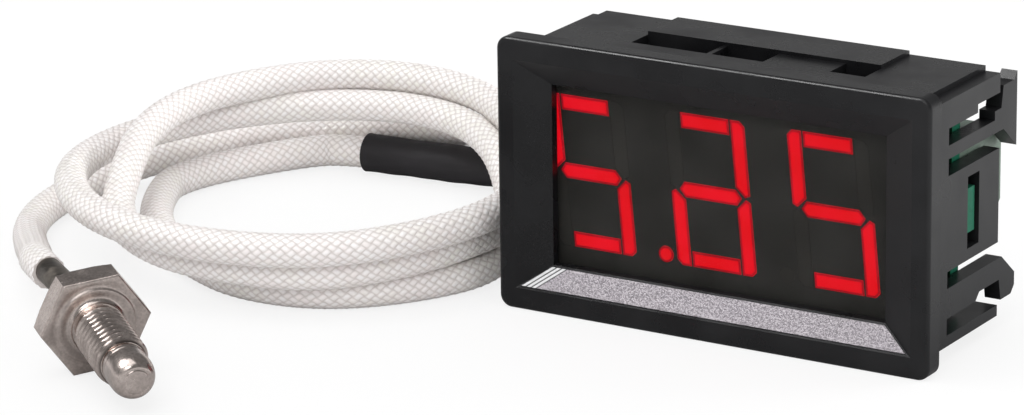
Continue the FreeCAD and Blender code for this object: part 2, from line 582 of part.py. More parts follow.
def bent_lead(root, out, along, height):
    """A gull-wing lead from a chip's side, down to the board and out along it."""
    up = FreeCAD.Vector(0, 1, 0)
    reach, thin = value("lead_reach"), value("lead_thickness")
    knee, foot, toe = out * value("lead_knee"), out * value("lead_foot"), out * reach
    rise = up * (height - thin)
    corners = [root, root + knee, root + foot - rise, root + toe - rise, root + toe - up * height,
               root + foot - out * thin - up * height, root + knee - out * thin - up * thin, root - up * thin]
    side = along * value("lead_width / 2")
    return Part.Face(Part.makePolygon([c - side for c in corners + corners[:1]])).extrude(side * 2)


leads = []
for row in range(10):
    for side in (-1, 1):
        x = value(CHIP_X) + side * value("chip_width / 2")
        z = value(CHIP_Z) + value("lead_pitch") * (row - 4.5)
        root = FreeCAD.Vector(x, value(f"{BOARD_REAR} + chip_lift + chip_thickness / 2"), z)
        leads.append(bent_lead(root, FreeCAD.Vector(side, 0, 0), FreeCAD.Vector(0, 0, 1),
                               value("chip_lift + chip_thickness / 2")))
for row in range(4):
    for side in (-1, 1):
        x = value(SMALL_X) + value("lead_pitch") * (row - 1.5)
        z = value(SMALL_Z) + side * value("small_chip_width / 2")
        root = FreeCAD.Vector(x, value(f"{BOARD_REAR} + chip_lift + small_chip_thickness / 2"), z)
        leads.append(bent_lead(root, FreeCAD.Vector(0, 0, side), FreeCAD.Vector(1, 0, 0),
                               value("chip_lift + small_chip_thickness / 2")))
finish(feature_from("lead_group", Part.makeCompound(leads)), "chip_leads")

# Regulator, smoothing capacitor, diode and chip parts
regulator = box("regulator_box", f"{BOARD_HALF} - regulator_inset", BOARD_REAR,
                f"{BLOCK_TOP} + regulator_rise", "regulator_length", "regulator_thickness", "regulator_width")
finish(regulator, "voltage_regulator")
CAN_X, CAN_Z = f"({BOARD_HALF} - can_inset)", f"({BLOCK_TOP} + can_rise + can_base / 2)"
can_foot = box("can_foot", f"{CAN_X} - can_base / 2", BOARD_REAR, f"{CAN_Z} - can_base / 2",
               "can_base", "can_base_thickness", "can_base")
can_top = cylinder_along_y("can_top", CAN_X, f"{BOARD_REAR} + can_base_thickness", CAN_Z,
                           "can_diameter / 2", "can_height")
finish(can_top, "smoothing_capacitor")
finish(can_foot, "capacitor_base")
diode = box("diode_box", f"{CHIP_X} - diode_length / 2 - diode_offset", BOARD_REAR,
            f"{BOARD_HIGH} - diode_width - diode_edge", "diode_length", "diode_thickness", "diode_width")
finish(diode, "protection_diode")
resistors = [box("resistor", f"-{BOARD_HALF} + resistor_edge", BOARD_REAR,
                 f"{BOARD_LOW} + resistor_rise + chip_part_pitch * {place}",
                 "chip_part_length", "resistor_thickness", "chip_part_width") for place in range(5)]
finish(group("Part::Compound", "resistor_group", resistors), "chip_resistors")
ceramic = [box("ceramic", f"{CHIP_X} - chip_part_pitch * {place}", BOARD_REAR, f"{BOARD_LOW} + ceramic_rise",
               "chip_part_length", "ceramic_thickness", "chip_part_width") for place in range(2)]
finish(group("Part::Compound", "ceramic_group", ceramic), "chip_capacitors")


# Cords: straight runs joined by tangent arcs, each as large as its two runs allow
def cord_path(points):
    """The wire of a cord's route, with the radius of each of its arcs."""
    edges, radii, start = [], [], points[0]
    for before, corner, after in zip(points, points[1:], points[2:]):
        arriving, leaving = corner - before, after - corner
        turn = arriving.getAngle(leaving)
        reach = 0.45 * min(arriving.Length, leaving.Length)
        radii.append(reach / math.tan(turn / 2))
        inward, outward = arriving.normalize(), leaving.normalize()
        first, last = corner - inward * reach, corner + outward * reach
        bow = (outward - inward).normalize()
        middle = corner + bow * (radii[-1] / math.cos(turn / 2) - radii[-1])
        edges += [Part.LineSegment(start, first).toShape(), Part.Arc(first, middle, last).toShape()]
        start = last
    edges.append(Part.LineSegment(start, points[-1]).toShape())
    return Part.Wire(edges), radii


def cord_tube(name, points, diameter):
    """A round cord along a route, which prints its bends and its volume."""
    path, radii = cord_path(points)
    ring = Part.Wire(Part.Circle(points[0], points[1] - points[0], diameter / 2).toShape())
    tube = path.makePipeShell([ring], True, False)
    share = tube.Volume / (math.pi * diameter ** 2 / 4 * path.Length)
    print(f"{name}: length {path.Length:.1f}, volume share {share:.4f}, radii", [round(r, 1) for r in radii])
    feature = doc.addObject("Part::Feature", name + "_tube")
    feature.Shape = tube
    return finish(feature, name)


# Probe, built along X from the front of its hexagon and laid on a corner of it, with the nose lower
CORNER = "(hex_flats / sqrt(3))"
PROBE_X = f"({BEZEL_LEFT} - probe_beside)"
PROBE_Z = f"({CORNER} * cos(probe_dip) * sin(60 + probe_roll))"
probe_axis = FreeCAD.Rotation(value("probe_turn"), value("probe_dip"), value("probe_roll"))


def lay_probe(thing):
    """Lays a probe piece on the surface, turned to its heading."""
    thing.Placement.Rotation = probe_axis
    return bind(thing, Placement__Base__x=PROBE_X, Placement__Base__y="probe_y", Placement__Base__z=PROBE_Z)


def turned(name, profile):
    """A piece turned about the probe's axis from a half profile."""
    body = doc.addObject("PartDesign::Body", name)
    sketch = sketch_on(body, "XY_Plane")
    outline(sketch, profile)
    revolution = body.newObject("PartDesign::Revolution", "Revolution")
    revolution.Profile = sketch
    revolution.ReferenceAxis = (sketch, ["H_Axis"])
    revolution.Angle = 360
    doc.recompute()
    return body


RELIEF = "(thread_diameter / 2 - thread_relief)"
SCREW_BORE = "(sheath_diameter / 2 + sheath_play)"
screw_round = turned("screw_round", [
    ("-hex_thickness", SCREW_BORE), ("-hex_thickness", f"{CORNER} - hex_bevel"),
    ("-hex_thickness + hex_bevel_depth", CORNER), ("-hex_bevel_depth", CORNER),
    ("0", f"{CORNER} - hex_bevel"), ("0", RELIEF), ("relief_length", RELIEF),
    ("relief_length + thread_relief", "thread_diameter / 2"),
    ("thread_length - thread_relief", "thread_diameter / 2"), ("thread_length", RELIEF),
    ("thread_length", SCREW_BORE)])
prism = doc.addObject("Part::Prism", "hexagon")
prism.Polygon = 6
upright_flats = FreeCAD.Rotation(FreeCAD.Vector(0, 0, 1), 30)
prism.Placement.Rotation = FreeCAD.Rotation(FreeCAD.Vector(0, 1, 0), 90) * upright_flats
bind(prism, Circumradius=CORNER, Height="hex_thickness + 2 * thread_length",
     Placement__Base__x="-hex_thickness - thread_length")
screw = doc.addObject("Part::Common", "probe_screw_common")
screw.Base = screw_round
screw.Tool = prism
finish(lay_probe(screw), "probe_screw")

NOSE = "(thread_length + probe_play)"
SHEATH_BORE = "(sheath_diameter / 2 - sheath_wall)"
sheath = turned("sheath_body", [
    ("-hex_thickness - probe_play - ferrule_overlap", SHEATH_BORE),
    ("-hex_thickness - probe_play - ferrule_overlap", "sheath_diameter / 2"),
    (NOSE, "sheath_diameter / 2"), (NOSE, "nose_diameter / 2 - nose_rim"),
    (f"{NOSE} + nose_rim", "nose_diameter / 2"), (f"{NOSE} + nose_length - nose_dome", "nose_diameter / 2"),
    (f"{NOSE} + nose_length - nose_shoulder", "nose_shoulder_diameter / 2"),
    (f"{NOSE} + nose_length", "nose_end_diameter / 2"), (f"{NOSE} + nose_length", "0"),
    (f"{NOSE} + nose_length - nose_wall", "0"), (f"{NOSE} + nose_length - nose_wall", SHEATH_BORE)])
finish(lay_probe(sheath), "sensor_sheath")

# Crimped tube from the hexagon to the braid, which bends until it lies level
HEX_REAR = "(-hex_thickness - probe_play)"
probe_line = probe_axis.multVec(FreeCAD.Vector(1, 0, 0))
probe_place = FreeCAD.Vector(value(PROBE_X), value("probe_y"), value(PROBE_Z))
level_line = FreeCAD.Rotation(value("probe_turn + ferrule_turn"), 0, 0).multVec(FreeCAD.Vector(-1, 0, 0))
ferrule_front = probe_place + probe_line * value(HEX_REAR)
ferrule_bend = ferrule_front - probe_line * value("ferrule_neck")
tail_end = ferrule_bend + level_line * value("ferrule_length - ferrule_neck")
ferrule_path, _ = cord_path([ferrule_front, ferrule_bend, tail_end])


def ferrule_round(radius):
    """A round rod along the crimped tube's line."""
    ring = Part.Wire(Part.Circle(ferrule_front, -probe_line, value(radius)).toShape())
    return ferrule_path.makePipeShell([ring], True, False)


FERRULE_BORE = "sheath_diameter / 2 + ferrule_play"
ferrule = doc.addObject("Part::Feature", "ferrule_tube")
ferrule.Shape = ferrule_round(f"{FERRULE_BORE} + ferrule_wall").cut(ferrule_round(FERRULE_BORE))
finish(ferrule, "crimp_ferrule")

# Welded junction of the two wires inside the closed nose
bead_radius = value(f"{SHEATH_BORE} - bead_play")
bead_place = value(f"{NOSE} + nose_length - nose_wall") - bead_radius
wire_start = value(f"{HEX_REAR} - ferrule_overlap")
legs = [Part.makeCylinder(value("bead_wire / 2"), bead_place - wire_start,
                          FreeCAD.Vector(wire_start, side * value("bead_spread"), 0), FreeCAD.Vector(1, 0, 0))
        for side in (-1, 1)]
bead = Part.makeSphere(bead_radius, FreeCAD.Vector(bead_place, 0, 0))
junction = doc.addObject("Part::Feature", "junction_weld")
junction.Shape = bead.multiFuse(legs)
finish(lay_probe(junction), "thermocouple_junction")

# Coil of the lead: one oval ring, lower in front, with room for the sleeve that leaves under it
ring_placement = FreeCAD.Placement(FreeCAD.Vector(value(f"{BEZEL_LEFT} - coil_beside"), value("coil_y"), 0),
                                   FreeCAD.Rotation(FreeCAD.Vector(0, 0, 1), value("coil_turn")))


def oval(name, grow, height):
    """An upright oval block round the coil's middle line, grown outwards."""
    curve = doc.addObject("Part::Ellipse", name + "_curve")
    curve.Placement.Rotation = FreeCAD.Rotation(FreeCAD.Vector(0, 0, 1), 90)
    bind(curve, MajorRadius=f"coil_half_length + {grow}", MinorRadius=f"coil_half_width + {grow}")
    block = doc.addObject("Part::Extrusion", name)
    block.Base = curve
    block.DirMode = "Custom"
    block.Dir = FreeCAD.Vector(0, 0, 1)
    block.Solid = True
    return bind(block, LengthFwd=height)


coil_outer = oval("coil_outer", "coil_ring / 2", "coil_back_height + coil_ring")
coil_inner = oval("coil_inner", "-coil_ring / 2", "coil_back_height + 2 * coil_ring")
above = doc.addObject("Part::Box", "coil_above")
bind(above, Length="4 * coil_half_width", Width="4 * coil_half_length", Height="2 * coil_back_height",
     Placement__Base__x="-2 * coil_half_width", Placement__Base__y="-2 * coil_half_length",
     Placement__Base__z="coil_front_height - (coil_back_height - coil_front_height) / 2")
fall = math.degrees(math.atan2(value("coil_back_height - coil_front_height"), value("2 * coil_half_length")))
above.Placement.Rotation = FreeCAD.Rotation(FreeCAD.Vector(1, 0, 0), fall)
ring = cut("coil_sloped", cut("coil_ring_cut", coil_outer, coil_inner), above)
doc.recompute()
coil_edges = doc.addObject("Part::Fillet", "coil_rounded")
coil_edges.Base = ring
coil_edges.Edges = [(number, value("coil_round"), value("coil_round"))
                    for number, edge in enumerate(ring.Shape.Edges, 1) if edge.BoundBox.ZMin > 1]
coil_edges.Placement = ring_placement

# Sleeve over the end of the braid, straight out from under the coil
SLEEVE_X = f"{BEZEL_LEFT} - sleeve_beside"
sleeve = doc.addObject("Part::Cylinder", "sleeve")
sleeve.Placement.Rotation = FreeCAD.Rotation(value("sleeve_turn"), 90, 0)
SLEEVE_LINE = sleeve.Placement.Rotation.multVec(FreeCAD.Vector(0, 0, 1))
bind(sleeve, Radius="sleeve_diameter / 2", Height="sleeve_length",
     Placement__Base__x=SLEEVE_X, Placement__Base__y="sleeve_y", Placement__Base__z="sleeve_diameter / 2")
finish(sleeve, "heat_shrink_sleeve")
sleeve_room = doc.addObject("Part::Cylinder", "sleeve_room")
sleeve_room.Placement.Rotation = sleeve.Placement.Rotation
bind(sleeve_room, Radius="sleeve_diameter / 2 + sleeve_play", Height="sleeve_length",
     Placement__Base__x=SLEEVE_X, Placement__Base__y="sleeve_y", Placement__Base__z="sleeve_diameter / 2")
finish(cut("coil_cut", coil_edges, sleeve_room), "cord_coil")

# Tail of the lead from under the coil to the probe's ferrule
cord_rest = value("cord_diameter / 2 + 0.02")
left = value(BEZEL_LEFT)
tail = [FreeCAD.Vector(left - 48.5, 2.5, cord_rest), FreeCAD.Vector(left - 54.8, -5.4, cord_rest),
        FreeCAD.Vector(left - 52.8, -15.5, cord_rest + 0.7), tail_end + level_line * 10.0, tail_end]
cord_tube("cord_tail", tail, value("cord_diameter"))

# Two inner leads from the sleeve to the left pair of terminals, and their bare wires
sleeve_start = FreeCAD.Vector(value(SLEEVE_X), value("sleeve_y"), value("sleeve_diameter / 2"))
sleeve_end = sleeve_start + SLEEVE_LINE * value("sleeve_length")
entry_y = value(f"{TONGUE} - wire_diameter / 2 - {REAR} / 2")
entry_z = value("block_bottom + lead_entry")
floor_z = value("lead_diameter / 2 + 0.1")
spread = FreeCAD.Vector(-SLEEVE_LINE.y, SLEEVE_LINE.x, 0) * value("lead_spread")
for name, way, side in (("positive", WAYS[0], -1), ("negative", WAYS[1], 1)):
    x = value(way)
    start = sleeve_end + spread * side
    ahead = start + SLEEVE_LINE * 9
    route = [start, FreeCAD.Vector(ahead.x, ahead.y, floor_z + 0.5),
             FreeCAD.Vector(x - 17, 22.6 + side, floor_z), FreeCAD.Vector(x - 7.5, 20.0 + side, floor_z),
             FreeCAD.Vector(x - 1.6, 14.0, floor_z + 1.2),
             FreeCAD.Vector(x, entry_y + 3.6, entry_z - 7.4), FreeCAD.Vector(x, entry_y, entry_z - 4.2),
             FreeCAD.Vector(x, entry_y, entry_z)]
    cord_tube(f"lead_{name}", route, value("lead_diameter"))
    wire = doc.addObject("Part::Cylinder", f"wire_{name}")
    bind(wire, Radius="wire_diameter / 2", Height="wire_grip", Placement__Base__x=way,
         Placement__Base__y=f"{TONGUE} - wire_diameter / 2 - {REAR} / 2",
         Placement__Base__z="block_bottom + lead_entry")
    finish(wire, f"wire_end_{name}")

# Every object is sound before any file is written
doc.recompute()
failed = [thing.Label for thing in doc.Objects if "Invalid" in thing.State or "Error" in thing.State]
failed += [thing.Label for thing in parts if thing.Shape.isNull() or not thing.Shape.isValid()]
if failed:
    raise RuntimeError("failed: " + ", ".join(failed))
os.makedirs("parts", exist_ok=True)
for thing in parts:
    thing.Shape.exportStep(f"parts/{thing.Label}.step")
    size = thing.Shape.BoundBox
    print(f"{thing.Label}: {len(thing.Shape.Solids)} solids, volume {thing.Shape.Volume:.2f}, "
          f"x {size.XMin:.2f} {size.XMax:.2f}, y {size.YMin:.2f} {size.YMax:.2f}, "
          f"z {size.ZMin:.2f} {size.ZMax:.2f}")
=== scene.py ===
import math

import bmesh
import bpy
import numpy as np
from mathutils import Matrix, Vector


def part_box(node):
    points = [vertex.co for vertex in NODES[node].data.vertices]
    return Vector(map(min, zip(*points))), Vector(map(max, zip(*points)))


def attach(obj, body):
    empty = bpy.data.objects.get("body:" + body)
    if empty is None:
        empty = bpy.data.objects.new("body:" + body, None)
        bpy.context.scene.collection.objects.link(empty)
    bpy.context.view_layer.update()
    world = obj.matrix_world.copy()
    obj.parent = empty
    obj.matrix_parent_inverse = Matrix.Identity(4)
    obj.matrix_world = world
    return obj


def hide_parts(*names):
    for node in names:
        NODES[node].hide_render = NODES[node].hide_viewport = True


# Digital panel thermometer with its screw-in probe on a braided lead. Metres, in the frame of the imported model.
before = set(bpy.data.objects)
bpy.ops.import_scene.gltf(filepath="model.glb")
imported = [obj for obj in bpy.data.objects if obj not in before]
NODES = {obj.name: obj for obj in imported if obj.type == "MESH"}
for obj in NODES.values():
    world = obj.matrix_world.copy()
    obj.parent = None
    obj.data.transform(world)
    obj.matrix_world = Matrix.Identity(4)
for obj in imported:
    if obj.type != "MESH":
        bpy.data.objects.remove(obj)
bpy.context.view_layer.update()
MM = 0.001


# ---------------------------------------------------------------- shader nodes
class Value:
    """A socket of a shader node. Sums, products and comparisons of values add Math nodes."""

    def __init__(self, shading, socket):
        self.shading = shading
        self.socket = socket

    def __add__(self, other):
        return self.shading.maths("ADD", self, other)

    def __sub__(self, other):
        return self.shading.maths("SUBTRACT", self, other)

    def __rsub__(self, other):
        return self.shading.maths("SUBTRACT", other, self)

    def __mul__(self, other):
        return self.shading.maths("MULTIPLY", self, other)

    def __truediv__(self, other):
        return self.shading.maths("DIVIDE", self, other)

    def __gt__(self, other):
        return self.shading.maths("GREATER_THAN", self, other)

    def __lt__(self, other):
        return self.shading.maths("LESS_THAN", self, other)

    __radd__ = __add__
    __rmul__ = __mul__

    def between(self, low, high):
        """1 between the two limits and 0 outside them."""
        return (self > low) * (self < high)


class Shading:
    """The shader nodes of a material or of the world."""

    def __init__(self, owner):
        owner.use_nodes = True
        self.nodes = owner.node_tree.nodes
        self.links = owner.node_tree.links

    def add(self, kind, settings, inputs, output=0):
        """Adds a node: its settings first, then the values or links of its sockets."""
        node = self.nodes.new("ShaderNode" + kind)
        for setting, choice in settings.items():
            setattr(node, setting, choice)
        for socket, number in inputs.items():
            self.feed(node.inputs[socket], number)
        return Value(self, node.outputs[output])

    def feed(self, socket, number):
        """Links a value to a socket, or sets the socket's own number, vector or colour."""
        if isinstance(number, Value):
            self.links.new(number.socket, socket)
        elif isinstance(number, tuple) and len(number) == 3 and len(socket.default_value) == 4:
            socket.default_value = (*number, 1.0)
        else:
            socket.default_value = number

    def maths(self, operation, first, second=0.0):
        return self.add("Math", {"operation": operation}, {0: first, 1: second})

    def smooth(self, number, low, high):
        """Goes from 0 at low to 1 at high without a hard edge."""
        return self.add("MapRange", {"interpolation_type": "SMOOTHSTEP"},
                        {"Value": number, "From Min": low, "From Max": high})

    def mix(self, share, first, second):
        return self.add("Mix", {"data_type": "RGBA"}, {0: share, 6: first, 7: second}, 2)

    def place(self):
        """The place on the piece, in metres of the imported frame."""
        return self.add("TexCoord", {}, {}, "Object")

    def parts(self, vector):
        """The three numbers of a vector."""
        split = self.add("SeparateXYZ", {}, {"Vector": vector})
        outputs = split.socket.node.outputs
        return [Value(self, outputs[axis]) for axis in range(3)]

    def rays(self, *kinds):
        """For each kind of ray, 1 where a ray of that kind looks and 0 elsewhere."""
        return [self.add("LightPath", {}, {}, f"Is {kind} Ray") for kind in kinds]

    def noise(self, scale, detail=2.0, roughness=0.5, stretch=(1.0, 1.0, 1.0)):
        """Cloudy noise whose patches are about 1 / scale metres across."""
        spread = self.add("VectorMath", {"operation": "MULTIPLY"}, {0: self.place(), 1: stretch})
        return self.add("TexNoise", {}, {"Vector": spread, "Scale": scale, "Detail": detail, "Roughness": roughness})


class Finish(Shading):
    """The material of one finish: a Principled surface and the nodes that vary it."""

    def __init__(self, name, **constants):
        self.material = bpy.data.materials.new(name)
        super().__init__(self.material)
        self.surface = self.nodes["Principled BSDF"]
        for socket, number in constants.items():
            self.set(socket.replace("_", " ").title().replace("Ior", "IOR"), number)

    def set(self, socket, number):
        self.feed(self.surface.inputs[socket], number)

    def bump(self, height, distance, strength=1.0):
        self.set("Normal", self.add("Bump", {}, {"Height": height, "Distance": distance, "Strength": strength}))


# ---------------------------------------------------------------- materials
def moulded(name, colour, rough, grain=9000.0, depth=0.012 * MM, **constants):
    """Moulded plastic: fine spark-eroded grain, uneven gloss and faint handling marks."""
    finish = Finish(name, **constants)
    cloud = finish.noise(160.0, detail=3.0)
    grains = finish.noise(grain)
    lighter = tuple(min(1.0, c * 1.35 + 0.004) for c in colour)
    darker = tuple(c * 0.82 for c in colour)
    finish.set("Base Color", finish.mix(finish.smooth(cloud * 0.7 + grains * 0.3, 0.3, 0.7), darker, lighter))
    finish.set("Roughness", rough - 0.07 + 0.14 * finish.smooth(cloud, 0.35, 0.7))
    finish.bump(grains, depth, 0.6)
    return finish


def metal(name, dark, light, rough, brushed=(1.0, 1.0, 1.0), scale=1800.0, depth=0.006 * MM):
    """Metal with drawn or turned marks, dull patches and a slight change of tone."""
    finish = Finish(name, metallic=1.0)
    marks = finish.noise(scale, detail=3.0, roughness=0.6, stretch=brushed)
    patches = finish.noise(420.0, detail=3.0, roughness=0.6)
    tone = finish.smooth(marks * 0.5 + patches * 0.5, 0.3, 0.68)
    finish.set("Base Color", finish.mix(tone, dark, light))
    finish.set("Roughness", rough - 0.08 + 0.2 * finish.smooth(patches, 0.4, 0.75) + 0.06 * marks)
    finish.bump(marks, depth, 0.5)
    return finish


def woven(name, thread, gap_shade, tints, bands, depth, rough=0.36):
    """A round braid of flat fibre bands: two families of helical bands that pass over and under by turns, with
    painted shade in the gap colour at the edges of the bands and between them.
    """
    finish = Finish(name)
    fibres, fibre_height = 4, 0.04
    run, turn, _ = finish.parts(finish.add("UVMap", {"uv_map": "weave"}, {}))
    left, right = turn * bands + run, turn * bands - run
    across_left, across_right = finish.maths("FRACT", left), finish.maths("FRACT", right)
    cell_left, cell_right = finish.maths("FLOOR", left), finish.maths("FLOOR", right)
    left_on_top = finish.maths("FLOORED_MODULO", cell_left + cell_right, 2.0)
    dome_left = finish.maths("SINE", across_left * math.pi)
    dome_right = finish.maths("SINE", across_right * math.pi)
    fibres_left = finish.maths("SINE", across_left * (fibres * math.tau))
    fibres_right = finish.maths("SINE", across_right * (fibres * math.tau))
    band_left = dome_left * (0.5 + 0.5 * dome_right) + fibre_height * fibres_left
    band_right = dome_right * (0.5 + 0.5 * dome_left) + fibre_height * fibres_right
    height = band_right + left_on_top * (band_left - band_right)
    cell = finish.add("CombineXYZ", {}, {"X": cell_left, "Y": cell_right})
    odd = finish.add("TexWhiteNoise", {"noise_dimensions": "2D"}, {"Vector": cell})
    cloud = finish.noise(170.0, detail=3.0)
    tinted = finish.mix(finish.smooth(cloud, 0.38, 0.66), *tints)
    # Each cell is whiter or more tinted at random: partly the fibres' own tone, partly painted glint.
    fibre = finish.mix(0.35 + 0.65 * odd, tinted, thread)
    # Painted shade: the colour falls from the fibre colour to the darker gap colour at the edges of each band and
    # between bands.
    finish.set("Base Color", finish.mix(finish.smooth(height, -0.1, 0.9), gap_shade, fibre))
    finish.set("Roughness", rough + 0.25 * odd)
    finish.bump(height, depth)
    return finish


def filter_finish():
    """Smoked acrylic: a dark clear sheet with a soft, slightly uneven gloss."""
    finish = Finish("smoked_filter", alpha=0.24, specular_ior_level=0.08)
    cloud = finish.noise(240.0, detail=3.0)
    finish.set("Base Color", finish.mix(cloud, (0.01, 0.0095, 0.008), (0.016, 0.0145, 0.0115)))
    finish.set("Roughness", 0.12 + 0.1 * cloud)
    return finish


def stroke_finish(name, core, dull, strength):
    """A light window of the display, brighter where its diode stands behind it."""
    finish = Finish(name, roughness=0.45, emission_strength=strength, specular_ior_level=0.06)
    patch = finish.smooth(finish.noise(330.0, detail=1.0), 0.3, 0.7)
    finish.set("Emission Color", finish.mix(patch, dull, core))
    finish.set("Base Color", finish.mix(patch, (0.16, 0.003, 0.005), (0.24, 0.006, 0.01)))
    return finish


LABEL_SLANT = 2.7 * MM


def label_finish():
    """Silver label with a sparkling grain and three pale stripes along its left slanted end."""
    low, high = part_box("trim_label")
    stripes, pitch, first = 3, 0.56 * MM, 0.02 * MM
    finish = Finish("silver_label")
    x, _, z = finish.parts(finish.place())
    from_end = x - low.x - (z - low.z) * (LABEL_SLANT / (high.z - low.z))
    wave = finish.maths("FRACT", (from_end - first) / pitch)
    stripe = finish.smooth(wave, 0.0, 0.1) * (1 - finish.smooth(wave, 0.66, 0.76))
    striped = from_end < first + stripes * pitch
    grain = finish.noise(5200.0, detail=1.0, roughness=0.7)
    fine = finish.noise(11000.0, detail=1.0, roughness=0.6)
    cloud = finish.noise(260.0)
    speck = finish.smooth(grain * 0.6 + fine * 0.4, 0.36, 0.64)
    silver = finish.mix(speck, (0.14, 0.125, 0.137), (0.43, 0.4, 0.422))
    silver = finish.mix(0.3 * cloud, silver, (0.3, 0.27, 0.32))
    pale = finish.mix(stripe, (0.03, 0.03, 0.032), (0.6, 0.6, 0.61))
    finish.set("Base Color", finish.mix(striped, silver, pale))
    finish.set("Metallic", 0.1 + 0.25 * speck)
    finish.set("Roughness", 0.34 + 0.25 * grain)
    finish.bump(speck, 0.02 * MM, 0.7)
    return finish


def board_finish():
    """Glass-fibre board under green solder mask, with a brighter green along its sawn edge."""
    low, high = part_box("circuit_board")
    mask_depth = 0.06 * MM
    thread_wave = math.tau / (0.45 * MM)
    finish = Finish("board_laminate", specular_ior_level=0.3, coat_weight=0.08)
    x, y, z = finish.parts(finish.place())
    weave = finish.maths("SINE", x * thread_wave) * finish.maths("SINE", z * thread_wave)
    cloud = finish.noise(300.0, detail=3.0)
    mask = finish.mix(finish.smooth(cloud + 0.05 * weave, 0.3, 0.7), (0.006, 0.05, 0.024), (0.012, 0.085, 0.038))
    edge = y.between(low.y + mask_depth, high.y - mask_depth)
    sawn = finish.mix(finish.noise(2500.0), (0.003, 0.072, 0.04), (0.01, 0.135, 0.078))
    finish.set("Base Color", finish.mix(edge, mask, sawn))
    finish.set("Roughness", 0.28 + 0.35 * edge + 0.1 * cloud)
    finish.bump(weave, 0.004 * MM, 0.5)
    return finish


def can_finish():
    """Aluminium can: a printed half on top, a pressed vent cross and a rolled seam at the foot."""
    low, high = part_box("smoothing_capacitor")
    middle = (low + high) / 2
    print_from, seam_height = 0.55 * MM, 0.9 * MM
    cross_floor, cross_edge = 0.05 * MM, 0.13 * MM
    finish = Finish("capacitor_can")
    x, y, z = finish.parts(finish.place())
    top = y > high.y - 0.05 * MM
    printed = top * (x < middle.x - print_from)
    cross_a = finish.smooth(finish.maths("ABSOLUTE", x - middle.x), cross_floor, cross_edge)
    cross_b = finish.smooth(finish.maths("ABSOLUTE", z - middle.z), cross_floor, cross_edge)
    pressed = 1 - top * (1 - cross_a * cross_b)
    seam = finish.smooth(finish.maths("ABSOLUTE", y - (low.y + seam_height)), 0.08 * MM, 0.3 * MM)
    drawn = finish.noise(2200.0, roughness=0.6, stretch=(1.0, 0.15, 1.0))
    bright = finish.mix(drawn, (0.5, 0.5, 0.5), (0.72, 0.72, 0.71))
    finish.set("Base Color", finish.mix(printed, bright, (0.012, 0.012, 0.014)))
    finish.set("Metallic", 1 - printed)
    finish.set("Roughness", 0.26 + 0.16 * drawn + 0.15 * printed)
    finish.bump(pressed * seam, 0.08 * MM)
    return finish


def plated_finish():
    """Nickel plate over turned steel: rings of the tool on the hexagon's front, a warm tone, painted shade in the
    thread valleys and dull handling marks. The map holds millimetres along the probe's axis and out from it."""
    tool_pitch = 0.31
    finish = Finish("nickel_plate", metallic=1.0)
    along, out, _ = finish.parts(finish.add("UVMap", {"uv_map": "turning"}, {}))
    front = along.between(-0.25, 0.04)
    patches = finish.noise(380.0, detail=4.0, roughness=0.6)
    fine = finish.noise(4200.0)
    rings = front * finish.maths("SINE", out * (math.tau / tool_pitch) + 5 * patches)
    threaded = along.between(0.75, 8.25)
    # Painted shade: the valleys of the thread are darkened in colour, and they are also made rougher.
    shaded_valley = threaded * (1 - finish.smooth(out, 2.05, 2.4))
    tone = finish.smooth(patches * 0.65 + fine * 0.35, 0.32, 0.68)
    plate = finish.mix(tone, (0.45, 0.387, 0.36), (0.73, 0.64, 0.597))
    dull = 0.17 + 0.14 * finish.smooth(patches, 0.42, 0.72)
    finish.set("Base Color", finish.mix(shaded_valley, plate, (0.1, 0.083, 0.075)))
    finish.set("Roughness", dull + 0.12 * front + 0.2 * shaded_valley + 0.05 * fine)
    finish.bump(rings * 0.12 + fine * 0.5, 0.005 * MM, 0.6)
    return finish


def shrink_finish():
    """Heat-shrink tube: satin black with fine drawn lines and small puckers."""
    finish = Finish("heat_shrink", specular_ior_level=0.34)
    drawn = finish.noise(900.0, stretch=(0.25, 1.0, 1.0))
    pucker = finish.noise(700.0)
    finish.set("Base Color", finish.mix(drawn, (0.012, 0.011, 0.0125), (0.026, 0.0235, 0.027)))
    finish.set("Roughness", 0.46 + 0.24 * pucker)
    finish.bump(pucker * 0.6 + drawn * 0.4, 0.16 * MM, 0.8)
    return finish


housing_plastic = moulded("housing_plastic", (0.0068, 0.0068, 0.0078), 0.32, specular_ior_level=0.29)
terminal_plastic = moulded("terminal_plastic", (0.115, 0.155, 0.125), 0.5, grain=7000.0)
display_case = moulded("display_case", (0.05, 0.0495, 0.047), 0.6, grain=12000.0, depth=0.003 * MM,
                       specular_ior_level=0.2)
unlit_segment = moulded("unlit_segment", (0.058, 0.0565, 0.0525), 0.58, depth=0.003 * MM, specular_ior_level=0.2)
chip_epoxy = moulded("chip_epoxy", (0.017, 0.017, 0.018), 0.62, grain=14000.0, depth=0.015 * MM)
capacitor_foot = moulded("capacitor_foot", (0.014, 0.014, 0.015), 0.5)
resistor_body = moulded("resistor_body", (0.016, 0.016, 0.018), 0.32, grain=6000.0, depth=0.004 * MM, coat_weight=0.4)
ceramic_body = moulded("ceramic_body", (0.36, 0.25, 0.15), 0.42, grain=6000.0, depth=0.006 * MM)
silk_white = moulded("silk_white", (0.62, 0.62, 0.58), 0.6, depth=0.004 * MM)
track_green = moulded("track_green", (0.017, 0.115, 0.05), 0.3, depth=0.003 * MM, coat_weight=0.3)

